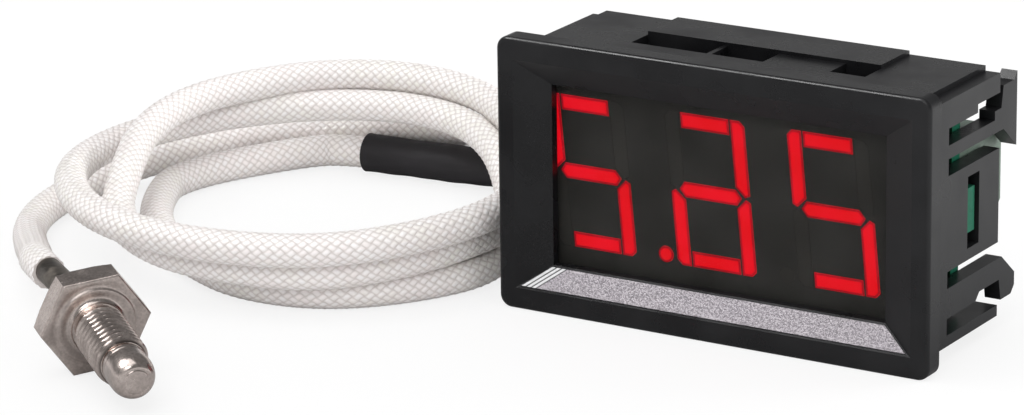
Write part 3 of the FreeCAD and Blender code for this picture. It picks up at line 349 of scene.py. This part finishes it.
tinned_metal = metal("tinned_metal", (0.42, 0.42, 0.42), (0.72, 0.72, 0.71), 0.34)
solder = metal("solder", (0.46, 0.46, 0.47), (0.8, 0.8, 0.8), 0.22, scale=900.0, depth=0.015 * MM)
clamp_plate = metal("clamp_plate", (0.44, 0.43, 0.42), (0.7, 0.69, 0.67), 0.3, brushed=(0.3, 1.0, 1.0))
screw_zinc = metal("screw_zinc", (0.4, 0.42, 0.45), (0.7, 0.72, 0.75), 0.3)
crimped_steel = metal("crimped_steel", (0.055, 0.047, 0.04), (0.21, 0.185, 0.16), 0.4, brushed=(0.25, 1.0, 1.0))
thermocouple_alloy = metal("thermocouple_alloy", (0.32, 0.3, 0.27), (0.55, 0.52, 0.48), 0.35)
bare_wire = metal("bare_wire", (0.4, 0.38, 0.34), (0.66, 0.63, 0.57), 0.32, brushed=(1.0, 1.0, 0.2))

# Bands that wind each way round the braid and round each inner lead
BRAID_BANDS, LEAD_BANDS = 12, 8
# The second colour of each braid is painted shade, for the edges of its bands and the gaps between them.
braid = woven("braid", (0.97, 0.945, 0.94), (0.69, 0.635, 0.61), ((0.94, 0.86, 0.845), (0.9, 0.88, 0.8)),
              BRAID_BANDS, 0.1 * MM, 0.3)
lead_yellow = woven("lead_yellow", (0.8, 0.52, 0.07), (0.36, 0.2, 0.02), ((0.72, 0.44, 0.05), (0.78, 0.56, 0.12)),
                    LEAD_BANDS, 0.05 * MM)
lead_red = woven("lead_red", (0.62, 0.035, 0.03), (0.25, 0.01, 0.01), ((0.5, 0.025, 0.022), (0.66, 0.07, 0.05)),
                 LEAD_BANDS, 0.05 * MM)

nickel_plate = plated_finish()
heat_shrink = shrink_finish()
smoked_filter = filter_finish()
silver_label = label_finish()
board_laminate = board_finish()
capacitor_can = can_finish()
lit_core = stroke_finish("lit_segment", (1.0, 0.003, 0.016), (0.95, 0.002, 0.009), 1.24)
lit_rim = stroke_finish("lit_rim", (0.6, 0.006, 0.022), (0.46, 0.004, 0.016), 0.85)


# ---------------------------------------------------------------- meshes
def mm(*numbers):
    """A point given in millimetres."""
    return np.array(numbers) * MM


def put_in_scene(name, data):
    item = bpy.data.objects.new(name, data)
    bpy.context.scene.collection.objects.link(item)
    return item


def add_piece(name, mesh, finishes, body):
    """A piece that rides on a body, with the given finishes as its materials."""
    piece = put_in_scene(name, mesh)
    for finish in finishes:
        mesh.materials.append(finish.material)
    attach(piece, body)
    return piece


def smooth_piece(name, vertices, faces, finish, body, sharp_angle):
    """A smooth piece that keeps a sharp edge where two faces meet at more than an angle, in degrees."""
    mesh = bpy.data.meshes.new(name)
    mesh.from_pydata([tuple(v) for v in vertices], [], faces)
    mesh.update()
    mesh.shade_smooth()
    mesh.set_sharp_from_angle(angle=math.radians(sharp_angle))
    return add_piece(name, mesh, [finish], body)


def flat_piece(name, shape, finishes, body):
    """A flat-faced piece from a bmesh, which is freed."""
    mesh = bpy.data.meshes.new(name)
    shape.to_mesh(mesh)
    shape.free()
    return add_piece(name, mesh, finishes, body)


def smooth_line(points):
    """The smooth line of a route: a NURBS spline with the route's points as its control points."""
    curve = bpy.data.curves.new("route", "CURVE")
    curve.dimensions = "3D"
    curve.resolution_u = 48
    spline = curve.splines.new("NURBS")
    spline.points.add(len(points) - 1)
    for control, place in zip(spline.points, points):
        control.co = (*place, 1.0)
    spline.order_u = 3
    spline.use_endpoint_u = True
    holder = bpy.data.objects.new("route", curve)
    mesh = bpy.data.meshes.new_from_object(holder)
    line = np.array([v.co for v in mesh.vertices])
    bpy.data.objects.remove(holder)
    bpy.data.curves.remove(curve)
    bpy.data.meshes.remove(mesh)
    return line


def length_along(line):
    return np.concatenate([[0.0], np.cumsum(np.linalg.norm(np.diff(line, axis=0), axis=1))])


def stations_along(line, count):
    """Points of the line at even steps."""
    run = length_along(line)
    steps = np.linspace(0.0, run[-1], count)
    return np.stack([np.interp(steps, run, line[:, axis]) for axis in range(3)], 1)


def side_vectors(line):
    """Two sideways directions at each point of a line, which turn with it without twisting."""
    ahead = np.gradient(line, axis=0)
    ahead /= np.linalg.norm(ahead, axis=1)[:, None]
    side = np.cross(ahead[0], (0.0, 0.0, 1.0))
    sides = []
    for forward in ahead:
        side = side - forward * (side @ forward)
        side = side / np.linalg.norm(side)
        sides.append(side)
    sides = np.array(sides)
    return sides, np.cross(ahead, sides)


def angles_round(sides):
    return np.linspace(0.0, math.tau, sides, endpoint=False)


def ring_faces(rings, sides, closed):
    """Faces between rings of vertices. A closed set joins its last ring to its first, an open one has flat ends."""
    faces = []
    for ring in range(rings if closed else rings - 1):
        here, following = ring * sides, (ring + 1) % rings * sides
        for side in range(sides):
            beside = (side + 1) % sides
            faces.append((here + side, here + beside, following + beside, following + side))
    if not closed:
        faces.append(tuple(reversed(range(sides))))
        faces.append(tuple(range((rings - 1) * sides, rings * sides)))
    return faces


def tube(name, line, radii, finish, body, pitch):
    """A tube round a line. radii has a row for each point of the line and a column for each side. Its map holds
    pitches along the line and turns round it."""
    rings, sides = radii.shape
    across, up = side_vectors(line)
    angles = angles_round(sides)[None, :, None]
    vertices = line[:, None] + radii[..., None] * (np.cos(angles) * across[:, None] + np.sin(angles) * up[:, None])
    faces = ring_faces(rings, sides, closed=False)
    piece = smooth_piece(name, vertices.reshape(-1, 3), faces, finish, body, 60.0)
    run = length_along(line) / pitch
    turn = np.arange(sides) / sides
    corner_run = np.stack([run[:-1], run[:-1], run[1:], run[1:]], -1)[:, None, :].repeat(sides, 1)
    corner_turn = np.stack([turn, turn + 1 / sides, turn + 1 / sides, turn], -1)[None].repeat(rings - 1, 0)
    corners = np.stack([corner_run, corner_turn], -1).reshape(-1, 2)
    corners = np.concatenate([corners, np.zeros((2 * sides, 2))])
    layer = piece.data.uv_layers.new(name="weave")
    layer.uv.foreach_set("vector", corners.astype(np.float32).ravel())
    return piece


def boxes(name, corners, finish, body, bevel=0.0):
    """Small blocks in one piece, each from its lowest and highest corner. A bevel breaks their edges."""
    shape = bmesh.new()
    for low, high in corners:
        low, high = Vector(low), Vector(high)
        place = Matrix.Translation((low + high) / 2) @ Matrix.Diagonal((*(high - low), 1.0))
        made = bmesh.ops.create_cube(shape, size=1.0, matrix=place)
        if bevel:
            edges = dict.fromkeys(edge for vertex in made["verts"] for edge in vertex.link_edges)
            bmesh.ops.bevel(shape, geom=list(edges), offset=bevel, segments=2, affect="EDGES", profile=0.5)
    return flat_piece(name, shape, [finish], body)


def welded(node):
    """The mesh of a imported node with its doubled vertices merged."""
    shape = bmesh.new()
    shape.from_mesh(NODES[node].data)
    bmesh.ops.remove_doubles(shape, verts=shape.verts, dist=1e-7)
    return shape


def solids_of(node):
    """Lowest and highest corner of each separate solid of a node."""
    shape = welded(node)
    left, found = set(shape.verts), []
    while left:
        reached, group = [left.pop()], []
        while reached:
            vertex = reached.pop()
            group.append(vertex.co.copy())
            for edge in vertex.link_edges:
                other = edge.other_vert(vertex)
                if other in left:
                    left.remove(other)
                    reached.append(other)
        found.append((Vector(map(min, zip(*group))), Vector(map(max, zip(*group)))))
    shape.free()
    return sorted(found, key=lambda corners: (corners[0].x, corners[0].z))


# ---------------------------------------------------------------- braided lead
PROBE_PLACE = mm(-43.5, -44.8, 4.710)
PROBE_TURN, PROBE_DIP, PROBE_ROLL = (math.radians(a) for a in (-37.7, 6.4, 5.8))
PROBE_AXES = (Matrix.Rotation(PROBE_TURN, 3, "Z") @ Matrix.Rotation(PROBE_DIP, 3, "Y")
              @ Matrix.Rotation(PROBE_ROLL, 3, "X"))
TAIL_END = mm(-57.15, -34.58, 5.50)
TAIL_DROP = mm(0, 0, 0.2)
LEVEL_LINE = np.array([-0.80696, 0.59061, 0.0])
SLEEVE_HEIGHT = 1.95
SLEEVE_START = mm(-57.2, 20.8, SLEEVE_HEIGHT)
SLEEVE_TURN = math.radians(5.0)
SLEEVE_LINE = np.array([math.cos(SLEEVE_TURN), math.sin(SLEEVE_TURN), 0.0])
SLEEVE_ACROSS = np.array([-SLEEVE_LINE[1], SLEEVE_LINE[0], 0.0])
SLEEVE_LENGTH = 25.0 * MM
SLEEVE_END = SLEEVE_START + SLEEVE_LINE * SLEEVE_LENGTH

COIL_MIDDLE = mm(-48.3, 0.0, 0.0)
COIL_TURN = math.radians(31.8)
POINT_STEP = 22.5
# Loose turns of the coil, clockwise from above: degrees, reach from the middle and height, in millimetres
COIL_STATIONS = [
    (108.4, 27.6, 2.55), (90, 26.9, 2.9), (67.5, 24.9, 4.2), (45, 24.6, 5.4), (22.5, 23.0, 5.5), (0, 22.5, 5.1),
    (-45, 22.2, 5.0), (-90, 24.6, 4.0), (-135, 23.2, 4.3), (-157.5, 22.0, 5.0), (-180, 19.7, 7.2),
    (-202.5, 19.9, 9.0), (-225, 20.7, 9.8), (-270, 22.0, 10.4), (-292.5, 21.9, 10.45), (-315, 21.0, 10.2),
    (-337.5, 19.8, 9.5), (-360, 20.0, 8.9), (-382.5, 21.8, 8.1), (-405, 23.8, 7.5), (-450, 26.0, 6.7),
    (-495, 26.0, 6.8), (-540, 25.4, 7.0), (-585, 23.2, 6.9), (-630, 20.2, 7.75), (-652.5, 19.6, 7.95),
    (-675, 18.7, 7.8), (-697.5, 17.8, 7.0), (-720, 17.9, 4.9), (-742.5, 19.7, 2.3), (-765, 22.7, 1.7),
    (-810, 22.9, 1.66), (-832.5, 20.8, 1.66), (-855, 17.7, 1.66), (-877.5, 16.5, 1.66), (-900, 16.9, 1.66),
    (-922.5, 18.7, 1.66), (-945, 22.6, 1.66), (-967.5, 25.1, 1.66)]


def coil_points():
    """Route points of the turns, about a sixteenth of a turn apart."""
    points = []
    for (angle, reach, height), (angle_2, reach_2, height_2) in zip(COIL_STATIONS, COIL_STATIONS[1:]):
        steps = round((angle - angle_2) / POINT_STEP)
        for step in range(steps):
            share = step / steps
            bearing = COIL_TURN + math.radians(angle + (angle_2 - angle) * share)
            out = (reach + (reach_2 - reach) * share) * MM
            rise = (height + (height_2 - height) * share) * MM
            points.append(COIL_MIDDLE + (out * math.cos(bearing), out * math.sin(bearing), rise))
    return points


tail_points = [
    TAIL_END - LEVEL_LINE * 1.9 * MM - TAIL_DROP, TAIL_END + LEVEL_LINE * 2.4 * MM - TAIL_DROP,
    mm(-63.0, -28.0, 3.7), mm(-67.4, -22.9, 2.4), mm(-72.2, -17.0, 1.66), mm(-75.0, -11.2, 1.66),
    mm(-76.2, -4.6, 1.66), mm(-75.7, 0.5, 1.95), mm(-74.5, 5.2, 2.45), mm(-72.7, 10.2, 2.55)]
sleeve_points = [
    mm(-63.3, 19.6, 1.66), SLEEVE_START - SLEEVE_LINE * 1.5 * MM, SLEEVE_START + SLEEVE_LINE * 1.5 * MM]
lead_route = tail_points + coil_points() + sleeve_points
lead_line = smooth_line(lead_route[::-1])

RINGS_PER_PITCH = 4


def crossings(rings, bands, sides):
    """How far each point of a braid stands out: 1 where a band passes over another and -1 between the bands."""
    ring, side = np.arange(rings)[:, None], np.arange(sides)[None]
    return np.cos(math.tau * ring / RINGS_PER_PITCH) * np.cos(math.tau * bands * side / sides)


BRAID_RADIUS, BRAID_RISE, BRAID_PITCH, BRAID_SIDES = 1.58 * MM, 0.05 * MM, 1.0 * MM, 48
lead_length = length_along(lead_line)[-1]
braid_pitches = int(lead_length / BRAID_PITCH)
braid_rings = braid_pitches * RINGS_PER_PITCH + 1
braid_line = stations_along(lead_line, braid_rings)
ring_number = np.arange(braid_rings)[:, None]
swell = 0.03 * np.sin(ring_number * 0.011) + 0.02 * np.sin(ring_number * 0.047 + 1.0)
braid_radii = BRAID_RADIUS * (1 + 0.4 * swell) + BRAID_RISE * crossings(braid_rings, BRAID_BANDS, BRAID_SIDES)
braided_lead = tube("braided_lead", braid_line, braid_radii, braid, "meter", lead_length / braid_pitches)
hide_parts("cord_coil", "cord_tail")


# ---------------------------------------------------------------- heat-shrink sleeve and the two inner leads
def shrink_sleeve():
    """A shrunk tube: round over the braid, drawn in to an oval over the two leads, with open ends."""
    rings, sides = 90, 56
    full, narrower, flatter, wall = 1.92, 0.18, 0.62, 0.3
    oval_from, oval_steep = 0.66, 22
    share = np.linspace(0.0, 1.0, rings)
    line = SLEEVE_START + share[:, None] * SLEEVE_LINE * SLEEVE_LENGTH
    drawn_in = 1 / (1 + np.exp(-(share - oval_from) * oval_steep))
    wide = full - narrower * drawn_in
    tall = full - flatter * drawn_in
    lumps = 0.025 * np.sin(share * 21.0) + 0.018 * np.sin(share * 47.0 + 2.0)
    lip = 0.05 * np.exp(-share / 0.015)
    angles = angles_round(sides)
    squeeze = 1 / np.sqrt((np.cos(angles)[None] / wide[:, None]) ** 2 + (np.sin(angles)[None] / tall[:, None]) ** 2)
    pinch = 0.02 * np.sin(3 * angles)[None] * np.sin(share * 9.0)[:, None]
    outer = (squeeze + (lumps + lip)[:, None] + pinch) * MM
    line[:, 2] -= ((SLEEVE_HEIGHT - outer.max(1) / MM) * 0.6 * drawn_in) * MM
    inner = outer - wall * MM
    line = np.concatenate([line, line[::-1]])
    radii = np.concatenate([outer, inner[::-1]])
    vertices = line[:, None] + radii[..., None] * (np.cos(angles)[None, :, None] * SLEEVE_ACROSS
                                                   + np.sin(angles)[None, :, None] * np.array([0.0, 0.0, 1.0]))
    faces = [(a, d, c, b) for a, b, c, d in ring_faces(len(line), sides, closed=True)]
    piece = smooth_piece("shrink_sleeve", vertices.reshape(-1, 3), faces, heat_shrink, "meter", 50.0)
    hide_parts("heat_shrink_sleeve")


LEAD_SPREAD = SLEEVE_ACROSS * 0.85 * MM
LEAD_RADIUS, LEAD_RISE, LEAD_PITCH, LEAD_SIDES = 0.69 * MM, 0.012 * MM, 0.7 * MM, 32


def inner_lead(name, way, side, finish):
    """One of the two leads, from its side of the sleeve's end to its way of the terminal block."""
    start = SLEEVE_END + LEAD_SPREAD * side
    ahead = start + SLEEVE_LINE * 9 * MM
    points = [start - SLEEVE_LINE * 1.0 * MM, np.array([ahead[0], ahead[1], 1.3 * MM]),
              mm(way - 17, 22.6 + side, 0.8), mm(way - 7.5, 20.0 + side, 0.8), mm(way - 1.6, 14.0, 2.0),
              mm(way, 7.8, 3.7), mm(way, 4.2, 6.9), mm(way, 4.2, 11.1)]
    line = smooth_line(points)
    line = stations_along(line, int(length_along(line)[-1] / LEAD_PITCH) * RINGS_PER_PITCH + 1)
    radii = LEAD_RADIUS + LEAD_RISE * crossings(len(line), LEAD_BANDS, LEAD_SIDES)
    lead = tube("inner_lead_" + name, line, radii, finish, "meter", LEAD_PITCH)
    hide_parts("lead_" + name)


shrink_sleeve()
inner_lead("positive", 1.9, -1, lead_yellow)
inner_lead("negative", 6.9, 1, lead_red)


# ---------------------------------------------------------------- probe, in millimetres from the hexagon's front face
def probe_points(along, out, angles):
    """Row points at a distance along the probe's axis and out from it, at each angle round it."""
    local = np.stack([np.broadcast_to(along, out.shape), out * np.cos(angles), out * np.sin(angles)], -1) * MM
    return local @ np.array(PROBE_AXES).T + PROBE_PLACE


def turned_piece(name, rows, finish, body, sides, closed):
    """A turned piece: rows of (distance along the axis, distances out at each angle). A closed one has a bore."""
    angles = angles_round(sides)
    vertices = np.concatenate([probe_points(along, out * np.ones(sides), angles) for along, out in rows])
    faces = [face[::-1] for face in ring_faces(len(rows), sides, closed)]
    piece = smooth_piece(name, vertices, faces, finish, body, 32.0)
    along_out = np.concatenate([np.stack([np.full(sides, along), out * np.ones(sides)], -1) for along, out in rows])
    corner_vertices = np.zeros(len(piece.data.loops), np.int32)
    piece.data.loops.foreach_get("vertex_index", corner_vertices)
    layer = piece.data.uv_layers.new(name="turning")
    layer.uv.foreach_set("vector", along_out[corner_vertices].astype(np.float32).ravel())
    return piece


SCREW_SIDES, SCREW_BORE = 180, 1.0
HEX_APOTHEM, HEX_CORNER = 4.5, 5.196
HEX_THICKNESS, BEVEL_OUT, BEVEL_DEEP, BEVEL_STEPS = 3.0, 0.55, 0.3, 5
FACE_STEP = -0.18
THREAD_MAJOR, THREAD_DEPTH, THREAD_PITCH = 2.49, 0.46, 0.8
THREAD_START, THREAD_END, THREAD_FADE = 0.6, 8.3, 0.5
screw_angles = angles_round(SCREW_SIDES)
hexagon = HEX_APOTHEM / np.cos((screw_angles % (math.pi / 3)) - math.pi / 6)


def thread_out(along):
    """The thread's surface at a distance along the axis: a ridge that winds round, fading at both ends."""
    steep, root_flat, end_out = 2.9, 0.28, 2.06
    phase = (along / THREAD_PITCH - screw_angles / math.tau) % 1.0
    ridge = np.clip((0.5 - np.abs(phase - 0.5)) * steep - root_flat, 0.0, 1.0)
    fade = min(1.0, max(0.0, (along - THREAD_START) / THREAD_FADE))
    root = THREAD_MAJOR - THREAD_DEPTH
    end_cone = end_out + max(0.0, THREAD_END - along)
    return np.minimum(root + THREAD_DEPTH * ridge * fade, end_cone)


screw_rows = [(-HEX_THICKNESS, SCREW_BORE), (-HEX_THICKNESS, 2.4), (-HEX_THICKNESS, 4.1)]
for step in range(BEVEL_STEPS + 1):
    share = step / BEVEL_STEPS
    bevel_cone = HEX_CORNER - BEVEL_OUT * (1 - share)
    screw_rows.append((-HEX_THICKNESS + BEVEL_DEEP * share, np.minimum(hexagon, bevel_cone)))
screw_rows += [(along, hexagon) for along in (-2.2, -1.5, -0.8, -0.33)]
screw_rows += [(-0.29, hexagon * 0.995), (-0.21, hexagon * 0.977), (FACE_STEP, hexagon * 0.964)]
screw_rows += [(FACE_STEP, 4.1), (FACE_STEP, 3.78), (-0.13, 3.69), (-0.03, 3.62), (0.0, 3.55), (0.0, 3.3), (0.0, 3.02)]
screw_rows += [(0.5 * (1 - math.cos(a)), 2.45 + 0.55 * (1 - math.sin(a))) for a in np.linspace(0.1, math.pi / 2, 9)]
screw_rows += [(along, thread_out(along)) for along in np.arange(THREAD_START, THREAD_END - 0.01, THREAD_PITCH / 12)]
screw_rows += [(THREAD_END, 2.03), (THREAD_END, SCREW_BORE)]
screw = turned_piece("plated_screw", screw_rows, nickel_plate, "probe_nut", SCREW_SIDES, True)
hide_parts("probe_screw")

NOSE_SIDES, STEM_REAR, STEM_OUT = 96, -5.1, 0.95
NOSE_REAR, NOSE_OUT, NOSE_TIP, END_DISC = 8.4, 2.1, 12.4, 1.22
REAR_ROUND, GROOVE_DEPTH, DOME_START, DOME_LENGTH = 0.3, 0.06, 10.55, 1.75
nose_rows = [(STEM_REAR, 0.6), (STEM_REAR, STEM_OUT), (NOSE_REAR, STEM_OUT), (NOSE_REAR, 1.62)]
nose_rows += [(NOSE_REAR + REAR_ROUND * (1 - math.cos(a)), 1.8 + REAR_ROUND * math.sin(a))
              for a in np.linspace(0, math.pi / 2, 7)]
nose_rows += [(NOSE_REAR + 0.75, NOSE_OUT), (NOSE_REAR + 0.82, NOSE_OUT - GROOVE_DEPTH),
              (NOSE_REAR + 0.92, NOSE_OUT - GROOVE_DEPTH), (NOSE_REAR + 0.99, NOSE_OUT), (DOME_START, NOSE_OUT)]
nose_rows += [(DOME_START + DOME_LENGTH * math.sin(a), END_DISC + (NOSE_OUT - END_DISC) * math.cos(a))
              for a in np.linspace(0.06, math.pi / 2, 22)]
nose_rows += [(NOSE_TIP - 0.1, END_DISC - 0.05), (NOSE_TIP - 0.02, END_DISC - 0.13), (NOSE_TIP, END_DISC - 0.2),
              (NOSE_TIP, 0.5), (NOSE_TIP - 0.02, 0.12)]
nose = turned_piece("sensor_nose", nose_rows, nickel_plate, "meter", NOSE_SIDES, False)
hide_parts("sensor_sheath")


# ---------------------------------------------------------------- display
def lit_strokes():
    """The lit windows, with a dull rim where each meets the wall of its well."""
    rim_width = 0.21 * MM
    shape = welded("lit_segments")
    front = min(vertex.co.y for vertex in shape.verts)
    windows = [face for face in shape.faces if max(v.co.y for v in face.verts) < front + 1e-6]
    rims = bmesh.ops.inset_region(shape, faces=windows, thickness=rim_width, use_even_offset=True)
    for face in rims["faces"]:
        face.material_index = 1
    piece = flat_piece("lit_windows", shape, [lit_core, lit_rim], "meter")
    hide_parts("lit_segments")


lit_strokes()


# ---------------------------------------------------------------- small parts on the back of the board
def board_details():
    """Solder pads, copper tracks and printed outlines on the board, the marks printed on its parts and the metal ends
    of its chip parts."""
    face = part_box("circuit_board")[1].y
    sunk, pad_rise, track_rise, print_rise = 0.01 * MM, 0.03 * MM, 0.015 * MM, 0.02 * MM
    pad_rim, half_track, track_beside, track_above = 0.1 * MM, 0.11 * MM, 0.9 * MM, 0.7 * MM
    cap_length, cap_wall, cap_pad_beside, cap_pad_above = 0.38 * MM, 0.015 * MM, 0.25 * MM, 0.08 * MM
    stroke = 0.14 * MM
    pads, caps, prints, tracks = [], [], [], []

    def lay(group, rise, x0, x1, z0, z1):
        """Lays a thin rectangle on the board."""
        group.append(((x0, face - sunk, z0), (x1, face + rise, z1)))

    def mark(top, x0, x1, z0, z1):
        """Prints a rectangle on the top of a part."""
        prints.append(((x0, top - sunk, z0), (x1, top + sunk, z1)))

    for low, high in solids_of("chip_leads"):
        middle = (low + high) / 2
        lay(pads, pad_rise, low.x - pad_rim, high.x + pad_rim, low.z - pad_rim, high.z + pad_rim)
        if high.x - low.x > high.z - low.z:
            lay(tracks, track_rise, low.x - track_beside, high.x + track_beside,
                middle.z - half_track, middle.z + half_track)
        else:
            lay(tracks, track_rise, middle.x - half_track, middle.x + half_track,
                low.z - track_above, high.z + track_above)
    for node in ("chip_resistors", "chip_capacitors"):
        for low, high in solids_of(node):
            for end, inward in ((low.x, cap_length), (high.x, -cap_length)):
                left, right = sorted((end - math.copysign(cap_wall, inward), end + inward))
                caps.append(((left, low.y - 0.005 * MM, low.z - cap_wall),
                             (right, high.y + cap_wall, high.z + cap_wall)))
                lay(pads, pad_rise, left - cap_pad_beside, right + cap_pad_beside,
                    low.z - cap_pad_above, high.z + cap_pad_above)
    for node, margin in (("microcontroller", 0.35), ("input_amplifier", 0.3), ("protection_diode", 0.4),
                         ("capacitor_base", 0.3), ("voltage_regulator", 0.3)):
        low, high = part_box(node)
        x0, x1, z0, z1 = low.x - margin * MM, high.x + margin * MM, low.z - margin * MM, high.z + margin * MM
        lay(prints, print_rise, x0, x1, z0 - stroke, z0)
        lay(prints, print_rise, x0, x1, z1, z1 + stroke)
        lay(prints, print_rise, x0 - stroke, x0, z0 - stroke, z1 + stroke)
        lay(prints, print_rise, x1, x1 + stroke, z0 - stroke, z1 + stroke)
    for node in ("microcontroller", "input_amplifier"):
        low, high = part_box(node)
        mark(high.y, low.x + 0.5 * MM, low.x + 1.0 * MM, high.z - 1.0 * MM, high.z - 0.5 * MM)
    low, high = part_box("protection_diode")
    mark(high.y, low.x + 0.5 * MM, low.x + 0.95 * MM, low.z + 0.15 * MM, high.z - 0.15 * MM)
    boxes("solder_pads", pads, solder, "meter")
    boxes("chip_part_ends", caps, tinned_metal, "meter", bevel=0.04 * MM)
    boxes("printed_outlines", prints, silk_white, "meter")
    boxes("copper_tracks", tracks, track_green, "meter")


board_details()


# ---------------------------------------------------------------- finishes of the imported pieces
for finish, nodes in {
        housing_plastic: ["front_housing"], smoked_filter: ["display_filter"], silver_label: ["trim_label"],
        unlit_segment: ["unlit_segments"], display_case: ["display_module"],
        tinned_metal: ["display_pins", "terminal_contacts", "chip_leads"], solder: ["solder_joints"],
        board_laminate: ["circuit_board"], terminal_plastic: ["terminal_block"],
        clamp_plate: [f"wire_clamp_{way}" for way in range(1, 5)],
        screw_zinc: [f"terminal_screw_{way}" for way in range(1, 5)],
        chip_epoxy: ["microcontroller", "input_amplifier", "voltage_regulator", "protection_diode"],
        capacitor_can: ["smoothing_capacitor"], capacitor_foot: ["capacitor_base"],
        resistor_body: ["chip_resistors"], ceramic_body: ["chip_capacitors"],
        crimped_steel: ["crimp_ferrule"], thermocouple_alloy: ["thermocouple_junction"],
        bare_wire: ["wire_end_positive", "wire_end_negative"]}.items():
    for node in nodes:
        slots = NODES[node].data.materials
        slots.clear()
        slots.append(finish.material)


# ---------------------------------------------------------------- floor, light and camera
def pale_floor():
    """A wide pale floor that keeps the object's shadow. It is white to the eye and dimmer in the gloss of what
    stands on it, apart from the stretch on the right that lights the case's side."""
    reach = 4.0
    pale, dim = (0.86, 0.86, 0.86), (0.44, 0.44, 0.44)
    stretch_start, stretch_end = 20 * MM, 65 * MM
    eye_glow, stretch_glow = 0.8, 0.6
    mesh = bpy.data.meshes.new("pale_floor")
    corners = [(-reach, -reach, 0), (reach, -reach, 0), (reach, reach, 0), (-reach, reach, 0)]
    mesh.from_pydata(corners, [], [(0, 1, 2, 3)])
    floor = put_in_scene("pale_floor", mesh)
    finish = Finish("pale_floor", roughness=0.8, specular_ior_level=0.0)
    eye, glass, gloss = finish.rays("Camera", "Transmission", "Glossy")
    x, _, _ = finish.parts(finish.place())
    stretch = finish.smooth(x, stretch_start, stretch_end)
    finish.set("Base Color", finish.mix(gloss * (1 - stretch), pale, dim))
    white = finish.add("Emission", {}, {"Strength": 1.0})
    share = eye_glow * finish.maths("MAXIMUM", eye, glass) + stretch_glow * gloss * stretch
    blend = finish.add("MixShader", {}, {0: share, 1: Value(finish, finish.surface.outputs[0]), 2: white})
    finish.feed(finish.nodes["Material Output"].inputs["Surface"], blend)
    mesh.materials.append(finish.material)


def studio_world():
    """Even light from all sides. Gloss meets a bright horizon under a dim ceiling, and the eye a white backdrop."""
    even, horizon, ceiling = 0.8, 0.85, 0.2
    horizon_top, ceiling_rim = 0.04, 0.3
    world = bpy.data.worlds.new("studio")
    bpy.context.scene.world = world
    studio = Shading(world)
    _, _, z = studio.parts(studio.add("TexCoord", {}, {}, "Generated"))
    eye, gloss = studio.rays("Camera", "Glossy")
    glossed = horizon + (ceiling - horizon) * studio.smooth(z, horizon_top, ceiling_rim)
    strength = even + gloss * (glossed - even)
    backdrop = studio.nodes["Background"].inputs
    studio.feed(backdrop["Color"], (1.0, 1.0, 1.0))
    studio.feed(backdrop["Strength"], strength + eye * (1 - strength))


LAMPS_AIM = (-0.02, -0.01, 0.01)


def soft_lamp(name, place, size, power, diffuse=True, gloss=True):
    """A soft rectangular lamp. It can be left out of the diffuse light or out of the gloss."""
    lamp = bpy.data.lights.new(name, "AREA")
    lamp.shape = "RECTANGLE"
    lamp.size, lamp.size_y = size
    lamp.energy = power
    holder = put_in_scene(name, lamp)
    toward = Vector(LAMPS_AIM) - Vector(place)
    holder.location = place
    holder.rotation_euler = toward.to_track_quat("-Z", "Y").to_euler()
    holder.visible_diffuse = diffuse
    holder.visible_glossy = gloss


def photo_camera():
    """The camera that was fitted to the photo."""
    eye = mm(214.9855, -390.0293, 148.8550)
    azimuth, elevation, roll = (math.radians(a) for a in (31.83388, 17.25930, -0.82061))
    flat = math.cos(elevation)
    back = Vector((math.sin(azimuth) * flat, -math.cos(azimuth) * flat, math.sin(elevation)))
    level = Vector((math.cos(azimuth), math.sin(azimuth), 0.0))
    above = back.cross(level)
    right = math.cos(roll) * level + math.sin(roll) * above
    upward = math.cos(roll) * above - math.sin(roll) * level
    lens = bpy.data.cameras.new("photo_camera")
    lens.lens = 176.8595
    lens.sensor_width = 36.0
    lens.sensor_fit = "HORIZONTAL"
    lens.clip_start = 0.01
    camera = put_in_scene("photo_camera", lens)
    camera.matrix_world = Matrix.Translation(eye) @ Matrix((right, upward, back)).transposed().to_4x4()
    bpy.context.scene.camera = camera


pale_floor()
studio_world()
soft_lamp("overhead_softbox", (-0.06, -0.12, 0.62), (0.55, 0.36), 0.85)
soft_lamp("left_strip", (-0.3, -0.2, 0.5), (0.3, 0.08), 0.3)
soft_lamp("edge_light", (-0.34, -0.21, 0.55), (0.3, 0.25), 3.4, diffuse=False)
soft_lamp("right_softbox", (0.5, 0.5, 0.16), (0.4, 0.3), 3.6, gloss=False)
soft_lamp("front_fill", (0.12, -0.5, 0.5), (0.4, 0.3), 1.05)
photo_camera()
bpy.context.scene.view_settings.view_transform = "Standard"
